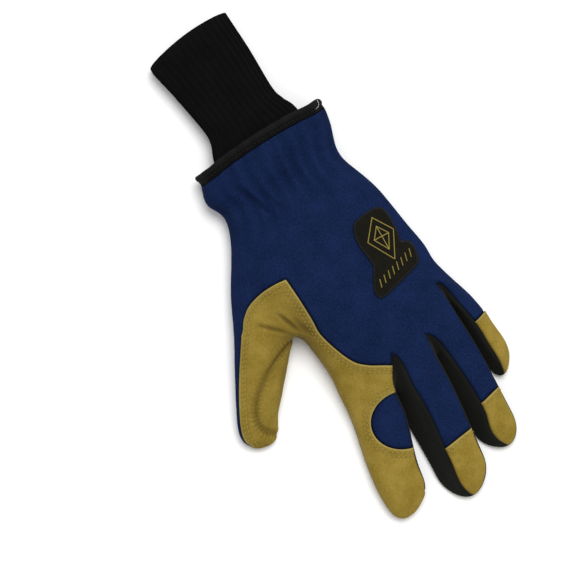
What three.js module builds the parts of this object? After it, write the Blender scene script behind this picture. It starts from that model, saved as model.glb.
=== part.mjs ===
// A left-hand insulated work glove, lying palm down on the floor. Sizes are in millimetres.
// +Z is up and the floor is z = 0. The fingers point along -Y, the knit wrist along +Y, and the thumb is at -X.
// The glove is one hollow skin: a few named sections are smoothed, cut along the seams into the cloth and
// leather panels that are sewn together in a real glove, and each panel is given the wall's thickness.
import * as THREE from 'three';

// Driving dimensions
const wall = 2.6; // outer cloth or leather with its insulation
const leastWall = 1.2; // where the skin turns sharply
const keptArea = 0.2; // the wall is thinned until its inner faces keep this share of their outer size
const seamInset = 0.2; // each panel stops this far short of its seam
const floorSink = -0.7; // soft undersides are drawn this low, then pressed flat on the floor
const backCrown = 2.4; // how far a finger's back stands proud of its two seams
const sideBulge = 1.0; // the same for a strip between two fingers
const gatherDepth = 1.5; // of the folds that the wrist elastic draws up
const labelLift = 0.35; // from the back's cloth to the underside of the label
const labelThickness = 1.1;
const fitRounds = 14; // corrections that bring the smoothed skin onto the measured points

// Sections across the hand, from the cuff's edge to the knuckles.
// tilt: how much further back the little-finger end is; bow: how far the middle runs towards the fingers
const handSections = [
  { y: 90.8, tilt: -0.8, bow: -2.2, backX: [-34, 48], backZ: [25, 34, 24], sideX: [-41, 55], sideZ: [14, 14], palmX: [-34, 48] },
  { y: 78, tilt: 0, bow: -1, backX: [-37, 45], backZ: [24, 33, 23], sideX: [-44, 51.8], sideZ: [13, 13], palmX: [-36, 44] },
  { y: 63, tilt: -3, bow: 0, backX: [-33, 39.6], backZ: [21, 29, 20], sideX: [-39.5, 46.8], sideZ: [12, 11], palmX: [-33, 39] },
  { y: 42, tilt: 0, bow: 1, backX: [-42, 44.5], backZ: [23, 33, 20], sideX: [-50, 51.8], sideZ: [13, 10], palmX: [-42, 43] },
  { y: 22, tilt: 0, bow: 2, backX: [-52, 48], backZ: [24, 36, 19], sideX: [-63, 56.4], sideZ: [12, 9], palmX: [-54, 49] },
  { y: -2, tilt: 2, bow: 2, backX: [-46, 50.5], backZ: [29, 37, 18], sideX: [-60, 58.9], sideZ: [12, 9], palmX: [-46, 50] },
  { y: -24.5, tilt: 9, bow: 4, backX: [-35, 53], backZ: [26, 36, 17], sideX: [-39.3, 61], sideZ: [13, 8], palmX: [-37, 50] },
  { y: -42, tilt: 20, bow: 6, backX: [-32.5, 54.5], backZ: [24, 34, 16], sideX: [-37.7, 60.8], sideZ: [12, 8], palmX: [-34.5, 51] },
];

// Where neighbouring fingers part: the point of the strip on the back, the bottom of the gap, and the palm's side.
// The first and last rows are the outer sides of the index and the little finger.
const webs = [
  { name: 'index_outer', back: [-33, -66, 21], gap: [-38.6, -66, 11], palm: [-35.5, -66, 1] },
  { name: 'index_middle', back: [4, -68, 29], gap: [-4, -93, 13], palm: [-9, -81, 1] },
  { name: 'middle_ring', back: [30, -69, 26.5], gap: [23, -93, 12], palm: [17, -81, 1] },
  { name: 'ring_little', back: [54, -45.5, 21], gap: [49, -72, 11], palm: [41, -63, 1] },
  { name: 'little_outer', back: [61, -44, 14.5], gap: [64, -47, 7], palm: [57, -47, 1] },
];

// Sections across each finger, knuckle to tip. Each pair is the thumb's side first, then the little finger's.
// y and x are the two seams of the back, z their heights, and palmX the two seams below.
const fingers = [
  {
    name: 'index', tip: [-43, -164.5, 6], outerBulge: 3.5, innerBulge: -0.6,
    sections: [
      { y: [-86, -88], x: [-36, -6.5], z: [18, 22], palmX: [-39, -15] },
      { y: [-104, -104], x: [-40, -9.5], z: [16.5, 19.5], palmX: [-43, -20] },
      { y: [-124, -125], x: [-45, -16.5], z: [15.5, 17.5], palmX: [-48, -26] },
      { y: [-142, -141], x: [-48.5, -21.5], z: [14, 15], palmX: [-50.5, -30] },
      { y: [-156, -155], x: [-49.7, -26], z: [10.5, 11.5], palmX: [-49.5, -33] },
    ],
  },
  {
    name: 'middle', tip: [-0.5, -176, 5.5], outerBulge: sideBulge, innerBulge: sideBulge, capFrom: 3,
    sections: [
      { y: [-90, -88], x: [4.4, 27.5], z: [25, 23], palmX: [-9, 17] },
      { y: [-111, -108], x: [3.5, 26], z: [22, 19], palmX: [-12, 14] },
      { y: [-139, -137], x: [-0.6, 21.6], z: [18.5, 16], palmX: [-13.6, 10] },
      { y: [-154, -153], x: [-3, 19], z: [16, 14], palmX: [-15, 7] },
      { y: [-165.5, -165.5], x: [-4.4, 15], z: [11.5, 10.5], palmX: [-12.5, 4] },
    ],
  },
  {
    name: 'ring', tip: [36.5, -161, 5], outerBulge: sideBulge, innerBulge: sideBulge, capFrom: 3,
    sections: [
      { y: [-84, -76], x: [34.8, 54], z: [22, 18], palmX: [20, 42] },
      { y: [-101, -97], x: [35.7, 53.7], z: [20, 15.5], palmX: [19, 41] },
      { y: [-127, -124], x: [35.4, 51.5], z: [17, 13], palmX: [22, 40] },
      { y: [-141.5, -140], x: [32, 50], z: [14.5, 11.5], palmX: [21.3, 38] },
      { y: [-152, -152], x: [31.5, 47.5], z: [10.5, 9], palmX: [24, 37] },
    ],
  },
  {
    name: 'little', tip: [59.5, -119.8, 5.5], outerBulge: sideBulge, innerBulge: 2, capFrom: 2,
    sections: [
      { y: [-62, -60], x: [58.5, 67.2], z: [19, 11], palmX: [48.5, 62] },
      { y: [-80, -78], x: [61, 70.2], z: [18, 10.5], palmX: [51, 63.5] },
      { y: [-96, -96], x: [60.6, 71.2], z: [16, 10], palmX: [52, 64] },
      { y: [-112.5, -109.5], x: [60.4, 69.2], z: [11.5, 8], palmX: [52.8, 63.5] },
    ],
  },
];

// Sections across the thumb: the middle of each in plan, half its width, its height, and how far in from its outer
// side the seam of the leather lies.
const thumb = {
  tip: [-98.3, -74.8, 5.5],
  sections: [
    { at: [-61.5, -14.7], half: 19.3, top: 29, seamIn: 5.3 },
    { at: [-77, -34.5], half: 16.4, top: 24, seamIn: 3.2 },
    { at: [-89.5, -51.5], half: 13.7, top: 20, seamIn: 1.8 },
    { at: [-95.8, -62.8], half: 12.9, top: 15, seamIn: 1.5 },
    { at: [-97.4, -70.6], half: 9.4, top: 10.5, seamIn: 1 },
  ],
};

// Seen from above: the edge of the leather that wraps thumb and index, from the thumb's seam over its corner on the
// back to the first strip. It then runs round far outside, where the seams of thumb and index take over.
const saddlePoint = [-27.6, 10.4];
const saddleEdge = [
  [-82, -10], [-70.8, -4.1], [-65, 2.8], [-58.3, 8.1], [-51, 10.6], [-43.2, 11.7], [-34.5, 11.4], saddlePoint,
  [-27.3, -5], [-27.6, -21], [-28.3, -31.5], [-24.6, -47], [-19.5, -59], [-12.5, -66], [-4, -71.5], [4, -77],
];
const saddleOutside = [[12, -80], [12, -220], [-160, -220], [-160, -30]];

// The leather front of the thumb comes round onto its back as far as a gathered seam, from the crotch to the tip.
// The outline then closes through the open space between thumb and index.
const thumbSeam = [
  [-42, -24.5], [-55.6, -28.4], [-66.6, -32.8], [-76.5, -37.9], [-87.3, -45.6], [-93, -54], [-94.4, -60],
  [-93, -65.8], [-89, -70],
];
const thumbGap = [[-84, -76], [-60, -64], [-45, -42]];

// The cloth window over the index's middle joint: a half oval, open to the strip beside it
const windowOval = { centre: [-12.2, -108.6], radii: [22.6, 19.2], turn: -14, points: 24 };

// The label on the back: an upright patch with a wider foot, seen from above
const labelEdge = [
  [32.5, 18], [45.5, 18.6], [50, 16], [51.7, 10], [50.8, -2], [49.3, -9.5], [53.5, -12], [54.4, -19], [51.5, -26.5],
  [46, -29], [21, -33.8], [16.5, -31.5], [16.8, -26.5], [22.3, -17.5], [24.8, -12], [24.4, 5], [27.5, 14.5],
];

const black = { color: 0x15171a, roughness: 0.95 };
const blue = { color: 0x18275c, roughness: 0.85 };
const leather = { color: 0xb09a3e, roughness: 0.6 };

// A cage of four-sided faces, each with the tag that says which panel it belongs to
const cage = { points: [], faces: [] };

function addPoint(x, y, z, column = 0) {
  cage.points.push({ at: new THREE.Vector3(x, y, z), column });
  return cage.points.length - 1;
}

function mix(a, b, t) {
  return a + (b - a) * t;
}

// The height of an arch over t = 0 to 1, through its two ends and its crest
function arch([start, crest, end], t) {
  return start * (1 - t) * (1 - 2 * t) + crest * 4 * t * (1 - t) + end * t * (2 * t - 1);
}

const backColumns = 8; // two for each finger

// One closed row of the cage across the hand: its back, its outer side, its palm, and its thumb side
function handRow(section) {
  const row = [];
  const yAt = (t) => section.y + section.tilt * (t - 0.5) - section.bow * 4 * t * (1 - t);
  for (let i = 0; i <= backColumns; i += 1) {
    const t = i / backColumns;
    row.push(addPoint(mix(...section.backX, t), yAt(t), arch(section.backZ, t), row.length));
  }
  row.push(addPoint(section.sideX[1], yAt(1), section.sideZ[1], row.length));
  for (let i = backColumns; i >= 0; i -= 1) {
    const t = i / backColumns;
    const z = arch([1.2, floorSink, 1.2], t);
    row.push(addPoint(mix(...section.palmX, t), yAt(t) - 2, z, row.length));
  }
  row.push(addPoint(section.sideX[0], yAt(0), section.sideZ[0], row.length));
  return row;
}

function midway(a, b) {
  return [0, 1, 2].map((k) => (a[k] + b[k]) / 2);
}

// The last row of the hand, which passes over the points where the fingers part
function knuckleRow() {
  const backs = [];
  const palms = [];
  webs.forEach((web, i) => {
    if (i > 0) {
      const crest = midway(webs[i - 1].back, web.back);
      const low = midway(webs[i - 1].palm, web.palm);
      backs.push(addPoint(crest[0], crest[1], crest[2] + backCrown));
      palms.push(addPoint(low[0], low[1], floorSink));
    }
    backs.push(addPoint(...web.back));
    palms.push(addPoint(...web.palm));
  });
  const gaps = webs.map((web) => addPoint(...web.gap));
  return { backs, palms, gaps };
}

// The eight points round a finger: back, little-finger side, palm, thumb side
function fingerRing(finger, section) {
  const [r, u] = [0, 1].map((k) => new THREE.Vector3(section.x[k], section.y[k], section.z[k]));
  const [pr, pu] = [0, 1].map((k) => new THREE.Vector3(section.palmX[k], section.y[k], 1.4));
  const across = u.clone().sub(r);
  const proud = new THREE.Vector3(-across.z, 0, across.x).normalize();
  const back = r.clone().lerp(u, 0.5).addScaledVector(proud, backCrown);
  const low = pr.clone().lerp(pu, 0.5).setZ(floorSink);
  const outer = r.clone().lerp(pr, 0.5).add(new THREE.Vector3(-finger.outerBulge, 0, 0));
  const inner = u.clone().lerp(pu, 0.5).add(new THREE.Vector3(finger.innerBulge, 0, 0));
  return [r, back, u, inner, pu, low, pr, outer].map((p) => addPoint(p.x, p.y, p.z));
}

// The eight points round the thumb, in the order of a finger's: its outer side is a finger's thumb side
function thumbRing(section, towards) {
  const [x, y] = section.at;
  const run = new THREE.Vector2(towards[0] - x, towards[1] - y).normalize();
  const around = [
    [-(section.half - section.seamIn), 0.74], [0, 1], [0.64 * section.half, 0.8], [section.half, 0.42],
    [0.62 * section.half, 0.06], [0, floorSink / section.top], [-0.64 * section.half, 0.06],
    [-section.half, 0.42],
  ];
  return around.map(([u, h]) => addPoint(x - run.y * u, y + run.x * u, section.top * h));
}

function addFace(corners, tag) {
  cage.faces.push({ corners, tag });
}

// Faces between two rows of the cage. tagOf gives the tag for each column, or null where there is no face.
function addBand(near, far, tagOf) {
  near.forEach((corner, j) => {
    const next = (j + 1) % near.length;
    const tag = tagOf(j);
    if (tag) addFace([corner, far[j], far[next], near[next]], tag);
  });
}

// Closes a ring of eight with four faces that meet at its tip: back, far side, palm and thumb's side
function addTip(ring, at, tags) {
  const tip = addPoint(...at);
  tags.forEach((tag, i) => addFace([ring[(2 * i + 2) % 8], ring[2 * i + 1], ring[2 * i], tip], tag));
}

const wristRows = 3; // rows of the cage from the cuff's edge to the heel of the palm
const thumbRows = [4, 6]; // the thumb leaves the hand between these rows

function handTag(row, column) {
  if (column <= backColumns) return 'upper';
  if (column < backColumns + 2) return 'back_panel';
  if (column < 2 * backColumns + 2) return row < wristRows ? 'wrist_panel' : 'palm';
  if (row >= thumbRows[0] && row < thumbRows[1]) return null;
  return row < thumbRows[0] ? 'back_panel' : 'saddle';
}

function buildHand() {
  const rows = handSections.map(handRow);
  const { backs, palms, gaps } = knuckleRow();
  rows.push([...backs, gaps[4], ...palms.slice().reverse(), gaps[0]]);
  for (let i = 0; i + 1 < rows.length; i += 1) {
    addBand(rows[i], rows[i + 1], (j) => handTag(i, j));
  }
  return { rows, backs, palms, gaps };
}

const strips = ['fourchette_index_middle', 'fourchette_middle_ring', 'fourchette_ring_little'];

function buildFinger(finger, i, { backs, palms, gaps }) {
  let ring = [
    backs[2 * i], backs[2 * i + 1], backs[2 * i + 2], gaps[i + 1],
    palms[2 * i + 2], palms[2 * i + 1], palms[2 * i], gaps[i],
  ];
  const backTag = (s) => {
    if (finger.name === 'index') return 'upper';
    return s < finger.capFrom ? 'back_panel' : `cap_${finger.name}`;
  };
  finger.sections.forEach((section, s) => {
    const next = fingerRing(finger, section);
    const outerTag = i === 0 ? 'saddle' : strips[i - 1];
    const innerTag = i === 3 ? backTag(s) : strips[i];
    const tags = [backTag(s), backTag(s), innerTag, innerTag, 'palm', 'palm', outerTag, outerTag];
    addBand(ring, next, (j) => tags[j]);
    ring = next;
  });
  const cap = finger.name === 'index' ? 'saddle' : `cap_${finger.name}`;
  addTip(ring, finger.tip, [cap, i % 3 === 0 ? cap : strips[i], 'palm', i === 0 ? cap : strips[i - 1]]);
}

function buildThumb({ rows }) {
  const [first, last] = thumbRows;
  const side = 2 * backColumns + 3; // the column down the thumb's side of the hand
  const palmEdge = side - 1;
  let ring = [
    rows[first][0], rows[first + 1][0], rows[last][0], rows[last][side],
    rows[last][palmEdge], rows[first + 1][palmEdge], rows[first][palmEdge], rows[first][side],
  ];
  const tags = ['upper', 'upper', 'saddle', 'saddle', 'thumb_front', 'thumb_front', 'back_panel', 'back_panel'];
  thumb.sections.forEach((section, s) => {
    const towards = s + 1 < thumb.sections.length ? thumb.sections[s + 1].at : thumb.tip;
    const next = thumbRing(section, towards);
    addBand(ring, next, (j) => tags[j]);
    ring = next;
  });
  addTip(ring, thumb.tip, ['saddle', 'saddle', 'thumb_front', 'saddle']);
}

// Each point's neighbours along edges, and the far corners of its faces
function neighbours(points, faces) {
  const round = points.map(() => ({ edges: new Map(), across: [] }));
  faces.forEach(({ corners }) => {
    corners.forEach((c, k) => {
      const near = [corners[(k + 1) % 4], corners[(k + 3) % 4]];
      near.forEach((n) => round[c].edges.set(n, (round[c].edges.get(n) ?? 0) + 1));
      round[c].across.push(corners[(k + 2) % 4]);
    });
  });
  return round;
}

// Where each point of a smoothed cage ends up
function limitPoints(points, faces) {
  return neighbours(points, faces).map(({ edges, across }, i) => {
    const at = points[i];
    const rim = [...edges].filter(([, uses]) => uses === 1).map(([n]) => points[n]);
    if (rim.length === 2) {
      return at.clone().multiplyScalar(4).add(rim[0]).add(rim[1]).divideScalar(6);
    }
    const n = edges.size;
    const sum = at.clone().multiplyScalar(n * n);
    [...edges.keys()].forEach((e) => sum.addScaledVector(points[e], 4));
    across.forEach((f) => sum.add(points[f]));
    return sum.divideScalar(n * (n + 5));
  });
}

// Moves the cage until its smoothed skin passes through the points that the tables give
function fitCage() {
  const wanted = cage.points.map((p) => p.at.clone());
  const held = wanted.map((p) => p.clone());
  for (let i = 0; i < fitRounds; i += 1) {
    limitPoints(held, cage.faces).forEach((p, k) => held[k].add(wanted[k]).sub(p));
  }
  return held;
}

// The mean of column numbers, where the last column is beside the first
function meanColumn(columns) {
  const around = 2 * backColumns + 4;
  const wraps = Math.max(...columns) - Math.min(...columns) > around / 2;
  const sum = columns.reduce((s, c) => s + (wraps && c < around / 2 ? c + around : c), 0);
  return (sum / columns.length) % around;
}

// Catmull-Clark smoothing: each face becomes four, and a shared edge gets a point of its own
function smooth({ points, columns, faces }) {
  const facePoint = faces.map(({ corners }) => {
    const sum = new THREE.Vector3();
    corners.forEach((c) => sum.add(points[c]));
    return sum.divideScalar(4);
  });
  const edges = new Map();
  faces.forEach(({ corners }, f) => {
    corners.forEach((a, k) => {
      const b = corners[(k + 1) % 4];
      const key = Math.min(a, b) + ',' + Math.max(a, b);
      if (!edges.has(key)) edges.set(key, { ends: [a, b], faces: [] });
      edges.get(key).faces.push(f);
    });
  });
  const made = points.map((p) => p.clone());
  const madeColumns = columns.slice();
  const faceAt = faces.map(({ corners }, f) => {
    madeColumns.push(meanColumn(corners.map((c) => columns[c])));
    return made.push(facePoint[f].clone()) - 1;
  });
  edges.forEach((edge) => {
    const [a, b] = edge.ends.map((e) => points[e]);
    const at = a.clone().add(b);
    if (edge.faces.length === 2) at.add(facePoint[edge.faces[0]]).add(facePoint[edge.faces[1]]).divideScalar(4);
    else at.divideScalar(2);
    madeColumns.push(meanColumn(edge.ends.map((e) => columns[e])));
    edge.at = made.push(at) - 1;
  });
  const touching = points.map(() => ({ edges: [], faces: new Set() }));
  edges.forEach((edge) => edge.ends.forEach((e) => {
    touching[e].edges.push(edge);
    edge.faces.forEach((f) => touching[e].faces.add(f));
  }));
  touching.forEach(({ edges: near, faces: around }, i) => {
    const rim = near.filter((edge) => edge.faces.length === 1);
    const other = (edge) => points[edge.ends[0] === i ? edge.ends[1] : edge.ends[0]];
    if (rim.length === 2) {
      made[i].multiplyScalar(6).add(other(rim[0])).add(other(rim[1])).divideScalar(8);
      return;
    }
    const n = near.length;
    const sum = points[i].clone().multiplyScalar(n - 2);
    near.forEach((edge) => sum.addScaledVector(other(edge), 1 / n));
    around.forEach((f) => sum.addScaledVector(facePoint[f], 1 / n));
    made[i] = sum.divideScalar(n);
  });
  const madeFaces = [];
  faces.forEach(({ corners, tag }, f) => corners.forEach((c, k) => {
    const key = (a, b) => Math.min(a, b) + ',' + Math.max(a, b);
    const after = edges.get(key(c, corners[(k + 1) % 4])).at;
    const before = edges.get(key(c, corners[(k + 3) % 4])).at;
    madeFaces.push({ corners: [c, after, faceAt[f], before], tag });
  }));
  return { points: made, columns: madeColumns, faces: madeFaces };
}

function smoothStep(t) {
  const s = Math.min(1, Math.max(0, t));
  return s * s * (3 - 2 * s);
}

// How strongly the wrist elastic gathers the cloth at this distance along the glove
function gatherAt(y) {
  const elasticY = handSections[2].y;
  const fromHand = smoothStep((y - 30) / (elasticY - 30));
  const toEdge = 1 - 0.35 * smoothStep((y - elasticY) / (handSections[0].y - elasticY));
  return gatherDepth * fromHand * toEdge;
}

function triangles(faces) {
  return faces.flatMap(({ corners: [a, b, c, d], tag }) => [
    { corners: [a, b, c], tag },
    { corners: [a, c, d], tag },
  ]);
}

// Normals of the skin, at its points
function normalsOf(points, faces) {
  const normals = points.map(() => new THREE.Vector3());
  faces.forEach(({ corners: [a, b, c] }) => {
    const n = points[b].clone().sub(points[a]).cross(points[c].clone().sub(points[a]));
    [a, b, c].forEach((k) => normals[k].add(n));
  });
  return normals.map((n) => n.normalize());
}

// The skin of the whole glove: smoothed, gathered at the wrist and pressed flat on the floor
function buildSkin() {
  const hand = buildHand();
  fingers.forEach((finger, i) => buildFinger(finger, i, hand));
  buildThumb(hand);
  const columns = cage.points.map((p) => p.column);
  const made = smooth({ points: fitCage(), columns, faces: cage.faces });
  const points = limitPoints(made.points, made.faces);
  const faces = triangles(made.faces);
  const flat = normalsOf(points, faces);
  points.forEach((p, i) => {
    p.addScaledVector(flat[i], -gatherAt(p.y) * Math.sin(Math.PI * made.columns[i]) ** 2);
    p.z = Math.max(p.z, 0);
  });
  const normals = normalsOf(points, faces);
  rimOf(faces.map((face) => face.corners)).forEach(([p]) => normals[p].setY(0).normalize());
  return { points, faces, normals };
}

// Moves the nearest point of the back, in plan, to where an outline has a sharp corner
function pinCorner(skin, [x, y]) {
  const across = (k) => Math.hypot(skin.points[k].x - x, skin.points[k].y - y);
  const back = skin.faces.filter((face) => face.tag === 'upper').flatMap((face) => face.corners);
  const nearest = back.reduce((a, b) => (across(b) < across(a) ? b : a));
  skin.points[nearest].setX(x).setY(y);
}

// How far a point in plan is inside (+) or outside (-) an outline
function insideBy(outline, x, y) {
  let nearest = Infinity;
  let inside = false;
  outline.forEach(([ax, ay], i) => {
    const [bx, by] = outline[(i + 1) % outline.length];
    const [dx, dy] = [bx - ax, by - ay];
    const t = Math.min(1, Math.max(0, ((x - ax) * dx + (y - ay) * dy) / (dx * dx + dy * dy)));
    nearest = Math.min(nearest, Math.hypot(x - ax - t * dx, y - ay - t * dy));
    if (ay > y !== by > y && x < ax + ((y - ay) / dy) * dx) inside = !inside;
  });
  return inside ? nearest : -nearest;
}

// Cuts the faces with one tag along an outline drawn in plan: those inside it get the new tag
function cutByOutline(skin, tag, outline, newTag, restTag) {
  const snap = 0.6;
  const depth = skin.points.map((p) => insideBy(outline, p.x, p.y));
  depth.forEach((d, i) => {
    if (Math.abs(d) < snap) depth[i] = 0;
  });
  const cuts = new Map();
  const cutPoint = (a, b) => {
    const key = Math.min(a, b) + ',' + Math.max(a, b);
    if (!cuts.has(key)) {
      const t = depth[a] / (depth[a] - depth[b]);
      depth.push(0);
      skin.normals.push(skin.normals[a].clone().lerp(skin.normals[b], t));
      cuts.set(key, skin.points.push(skin.points[a].clone().lerp(skin.points[b], t)) - 1);
    }
    return cuts.get(key);
  };
  skin.faces = skin.faces.flatMap((face) => {
    const signs = face.corners.map((c) => Math.sign(depth[c]));
    if (face.tag !== tag) {
      return [face];
    }
    if (!signs.includes(1) || !signs.includes(-1)) {
      return [{ corners: face.corners, tag: signs.includes(1) ? newTag : restTag }];
    }
    return [1, -1].flatMap((side) => {
      const kept = [];
      face.corners.forEach((c, k) => {
        const next = face.corners[(k + 1) % 3];
        if (signs[k] * side >= 0) kept.push(c);
        if (signs[k] * Math.sign(depth[next]) < 0) kept.push(cutPoint(c, next));
      });
      const madeTag = side > 0 ? newTag : restTag;
      return kept.slice(2).map((c, k) => ({ corners: [kept[0], kept[k + 1], c], tag: madeTag }));
    });
  });
  // A cut through an edge also divides the untouched face on its other side
  skin.faces = skin.faces.flatMap((face) => {
    const found = face.corners.findIndex((c, k) => {
      const next = face.corners[(k + 1) % 3];
      return cuts.has(Math.min(c, next) + ',' + Math.max(c, next));
    });
    if (found < 0) return [face];
    const [a, b, c] = [0, 1, 2].map((k) => face.corners[(found + k) % 3]);
    const at = cuts.get(Math.min(a, b) + ',' + Math.max(a, b));
    return [{ corners: [a, at, c], tag: face.tag }, { corners: [at, b, c], tag: face.tag }];
  });
}

function ovalOutline({ centre, radii, turn, points }) {
  const angle = THREE.MathUtils.degToRad(turn);
  return Array.from({ length: points }, (_, i) => {
    const a = (2 * Math.PI * i) / points;
    const [u, v] = [radii[0] * Math.cos(a), radii[1] * Math.sin(a)];
    return [
      centre[0] + u * Math.cos(angle) - v * Math.sin(angle),
      centre[1] + u * Math.sin(angle) + v * Math.cos(angle),
    ];
  });
}

// Splits a panel off the skin, with points of its own
function panelOf(skin, tag) {
  const index = new Map();
  const points = [];
  const normals = [];
  const source = [];
  const faces = skin.faces.filter((face) => face.tag === tag).map((face) => face.corners.map((c) => {
    if (!index.has(c)) {
      index.set(c, points.length);
      points.push(skin.points[c].clone());
      normals.push(skin.normals[c].clone());
      source.push(c);
    }
    return index.get(c);
  }));
  return { points, normals, faces, source };
}

// The edges round a panel, each from one point to the next
function rimOf(faces) {
  const uses = new Set();
  faces.forEach(([a, b, c]) => [[a, b], [b, c], [c, a]].forEach(([p, q]) => uses.add(p + ',' + q)));
  return faces.flatMap(([a, b, c]) => [[a, b], [b, c], [c, a]])
    .filter(([p, q]) => !uses.has(q + ',' + p));
}

// Draws a panel's rim in from its seams, along the skin
function insetRim({ points, normals, faces }, by) {
  const inward = new Map();
  rimOf(faces).forEach(([p, q]) => {
    const along = points[q].clone().sub(points[p]).normalize();
    [p, q].forEach((k) => {
      const step = normals[k].clone().cross(along).normalize();
      inward.set(k, (inward.get(k) ?? []).concat([step]));
    });
  });
  inward.forEach((steps, k) => {
    const sum = steps.reduce((s, step) => s.add(step), new THREE.Vector3());
    const length = Math.max(sum.length() / steps.length, 0.35);
    points[k].addScaledVector(sum.normalize(), by / length);
    points[k].z = Math.max(points[k].z, 0);
  });
}

// How thick the wall is at each point: thinner where the skin turns too sharply for its inner side to follow
function wallDepths({ points, normals, faces }) {
  const depths = points.map(() => wall);
  const area = ([a, b, c]) => b.clone().sub(a).cross(c.clone().sub(a));
  let folded = true;
  while (folded) {
    folded = false;
    faces.forEach(({ corners }) => {
      const outer = area(corners.map((k) => points[k]));
      const inner = area(corners.map((k) => points[k].clone().addScaledVector(normals[k], -depths[k])));
      if (inner.dot(outer) >= keptArea * outer.lengthSq()) return;
      folded = corners.some((k) => depths[k] > leastWall) || folded;
      corners.forEach((k) => {
        depths[k] = Math.max(leastWall, depths[k] - 0.1);
      });
    });
  }
  return depths;
}

// A closed solid between two distances from a panel's skin, measured outwards. The two panels at a seam divide the
// four-sided faces of their rims the same way, so that they stay clear of each other.
function thicken({ points, normals, faces, source }, outerAt, innerAt) {
  const position = [];
  [outerAt, innerAt].forEach((offset) => points.forEach((p, i) => {
    const at = p.clone().addScaledVector(normals[i], offset(source[i]));
    position.push(at.x, at.y, at.z);
  }));
  const n = points.length;
  const index = faces.flatMap(([a, b, c]) => [a, b, c, c + n, b + n, a + n]);
  rimOf(faces).forEach(([p, q]) => {
    if (source[p] < source[q]) index.push(q, p, p + n, q, p + n, q + n);
    else index.push(q, p, q + n, p, p + n, q + n);
  });
  const geometry = new THREE.BufferGeometry();
  geometry.setAttribute('position', new THREE.Float32BufferAttribute(position, 3));
  geometry.setIndex(index);
  return geometry;
}

function mesh(name, geometry, finish) {
  geometry.computeVertexNormals();
  const made = new THREE.Mesh(geometry, new THREE.MeshStandardMaterial({ ...finish, metalness: 0 }));
  made.name = name;
  return made;
}

// The panels that are sewn together, and their finish
const panels = [
  ['back_panel', blue], ['index_window', blue], ['saddle', leather], ['thumb_front', leather],
  ['palm', leather], ['cap_middle', leather], ['cap_ring', leather], ['cap_little', leather],
  ['fourchette_index_middle', black], ['fourchette_middle_ring', black],
  ['fourchette_ring_little', black], ['wrist_panel', black],
];

// A closed tube with a wall: rings of outer and inner points, joined at both ends
function tube(outerRings, innerRings) {
  const rings = [...outerRings, ...innerRings.slice().reverse()];
  const around = rings[0].length;
  const position = rings.flatMap((ring) => ring.flatMap((p) => [p.x, p.y, p.z]));
  const index = [];
  rings.forEach((_, r) => {
    const next = (r + 1) % rings.length;
    for (let j = 0; j < around; j += 1) {
      const k = (j + 1) % around;
      const [a, b, c, d] = [r * around + j, r * around + k, next * around + k, next * around + j];
      index.push(a, c, b, a, d, c);
    }
  });
  const geometry = new THREE.BufferGeometry();
  geometry.setAttribute('position', new THREE.Float32BufferAttribute(position, 3));
  geometry.setIndex(index);
  return geometry;
}

// The tape folded over the cuff's edge, which follows its gathers
const binding = { width: 7.4, proud: 0.7, gap: 0.4 };

function bindingGeometry(skin) {
  const next = new Map(rimOf(skin.faces.map((face) => face.corners)));
  const loop = [next.keys().next().value];
  while (next.get(loop.at(-1)) !== loop[0]) loop.push(next.get(loop.at(-1)));
  // Across the tape: how far past the edge, and how far out from the skin
  const profile = [
    [0, binding.proud], [binding.width * 0.8, binding.proud], [binding.width, -0.2],
    [binding.width, 0.2 - wall], [binding.width * 0.8, -wall - binding.proud], [0, -wall - binding.proud],
  ];
  const rings = profile.map(([along, out]) => loop.map((k) => {
    const at = skin.points[k].clone();
    at.addScaledVector(skin.normals[k], out);
    at.y += binding.gap + along;
    at.z = Math.max(at.z, out > -1 ? 0 : wall);
    return at;
  }));
  return tube(rings.slice(0, 3), rings.slice(3).reverse());
}

// The knit wrist, from its free end to where it is sewn in at the elastic
const knit = {
  ribs: 40,
  ribDepth: 0.9,
  wall: 2.4,
  squash: 2.6, // a flattened oval, between an ellipse and a box
  lift: 4, // it lies on the floor as far as the cuff, and is lifted inside it
  // lean: how much further back the little-finger side of a section is; bow: how far its middle bulges back
  sections: [
    { y: 177.6, lean: 2, bow: 3.6, centre: 3.8, half: 30.2, top: 19 },
    { y: 171, lean: 2, bow: 3, centre: 3.8, half: 30.2, top: 20.5 },
    { y: 150, lean: 0, bow: 0, centre: 5.5, half: 28.6, top: 20 },
    { y: 122, lean: 0, bow: 0, centre: 6.8, half: 26.2, top: 21.5 },
    { y: 112, lean: 0, bow: 0, centre: 7.5, half: 27.5, top: 23 },
    { y: 102, lean: 0, bow: 0, centre: 7.3, half: 31.5, top: 24 },
    { y: 80, lean: 0, bow: 0, centre: 4.5, half: 36, top: 25 },
    { y: 66, lean: 0, bow: 0, centre: 3, half: 35.4, top: 22.4 },
  ],
};

function knitRing(section, inset, ribbed) {
  const ring = [];
  const base = knit.lift * smoothStep((116 - section.y) / 14);
  const [half, high] = [section.half - inset, (section.top - base) / 2 - inset];
  const middle = (section.top + base) / 2;
  for (let i = 0; i < 2 * knit.ribs; i += 1) {
    const a = (-Math.PI * i) / knit.ribs;
    const [c, s] = [Math.cos(a), Math.sin(a)];
    const r = (Math.abs(c) ** knit.squash + Math.abs(s) ** knit.squash) ** (-1 / knit.squash);
    const rib = ribbed && i % 2 ? knit.ribDepth : 0;
    const y = section.y + section.lean * c + section.bow * s * s;
    ring.push(new THREE.Vector3(section.centre + (half - rib) * r * c, y, middle + (high - rib) * r * s));
  }
  return ring;
}

function knitGeometry() {
  const outer = knit.sections.map((section) => knitRing(section, 0, true));
  const inner = knit.sections.map((section) => knitRing(section, knit.wall, false));
  return tube(outer, inner);
}

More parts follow.
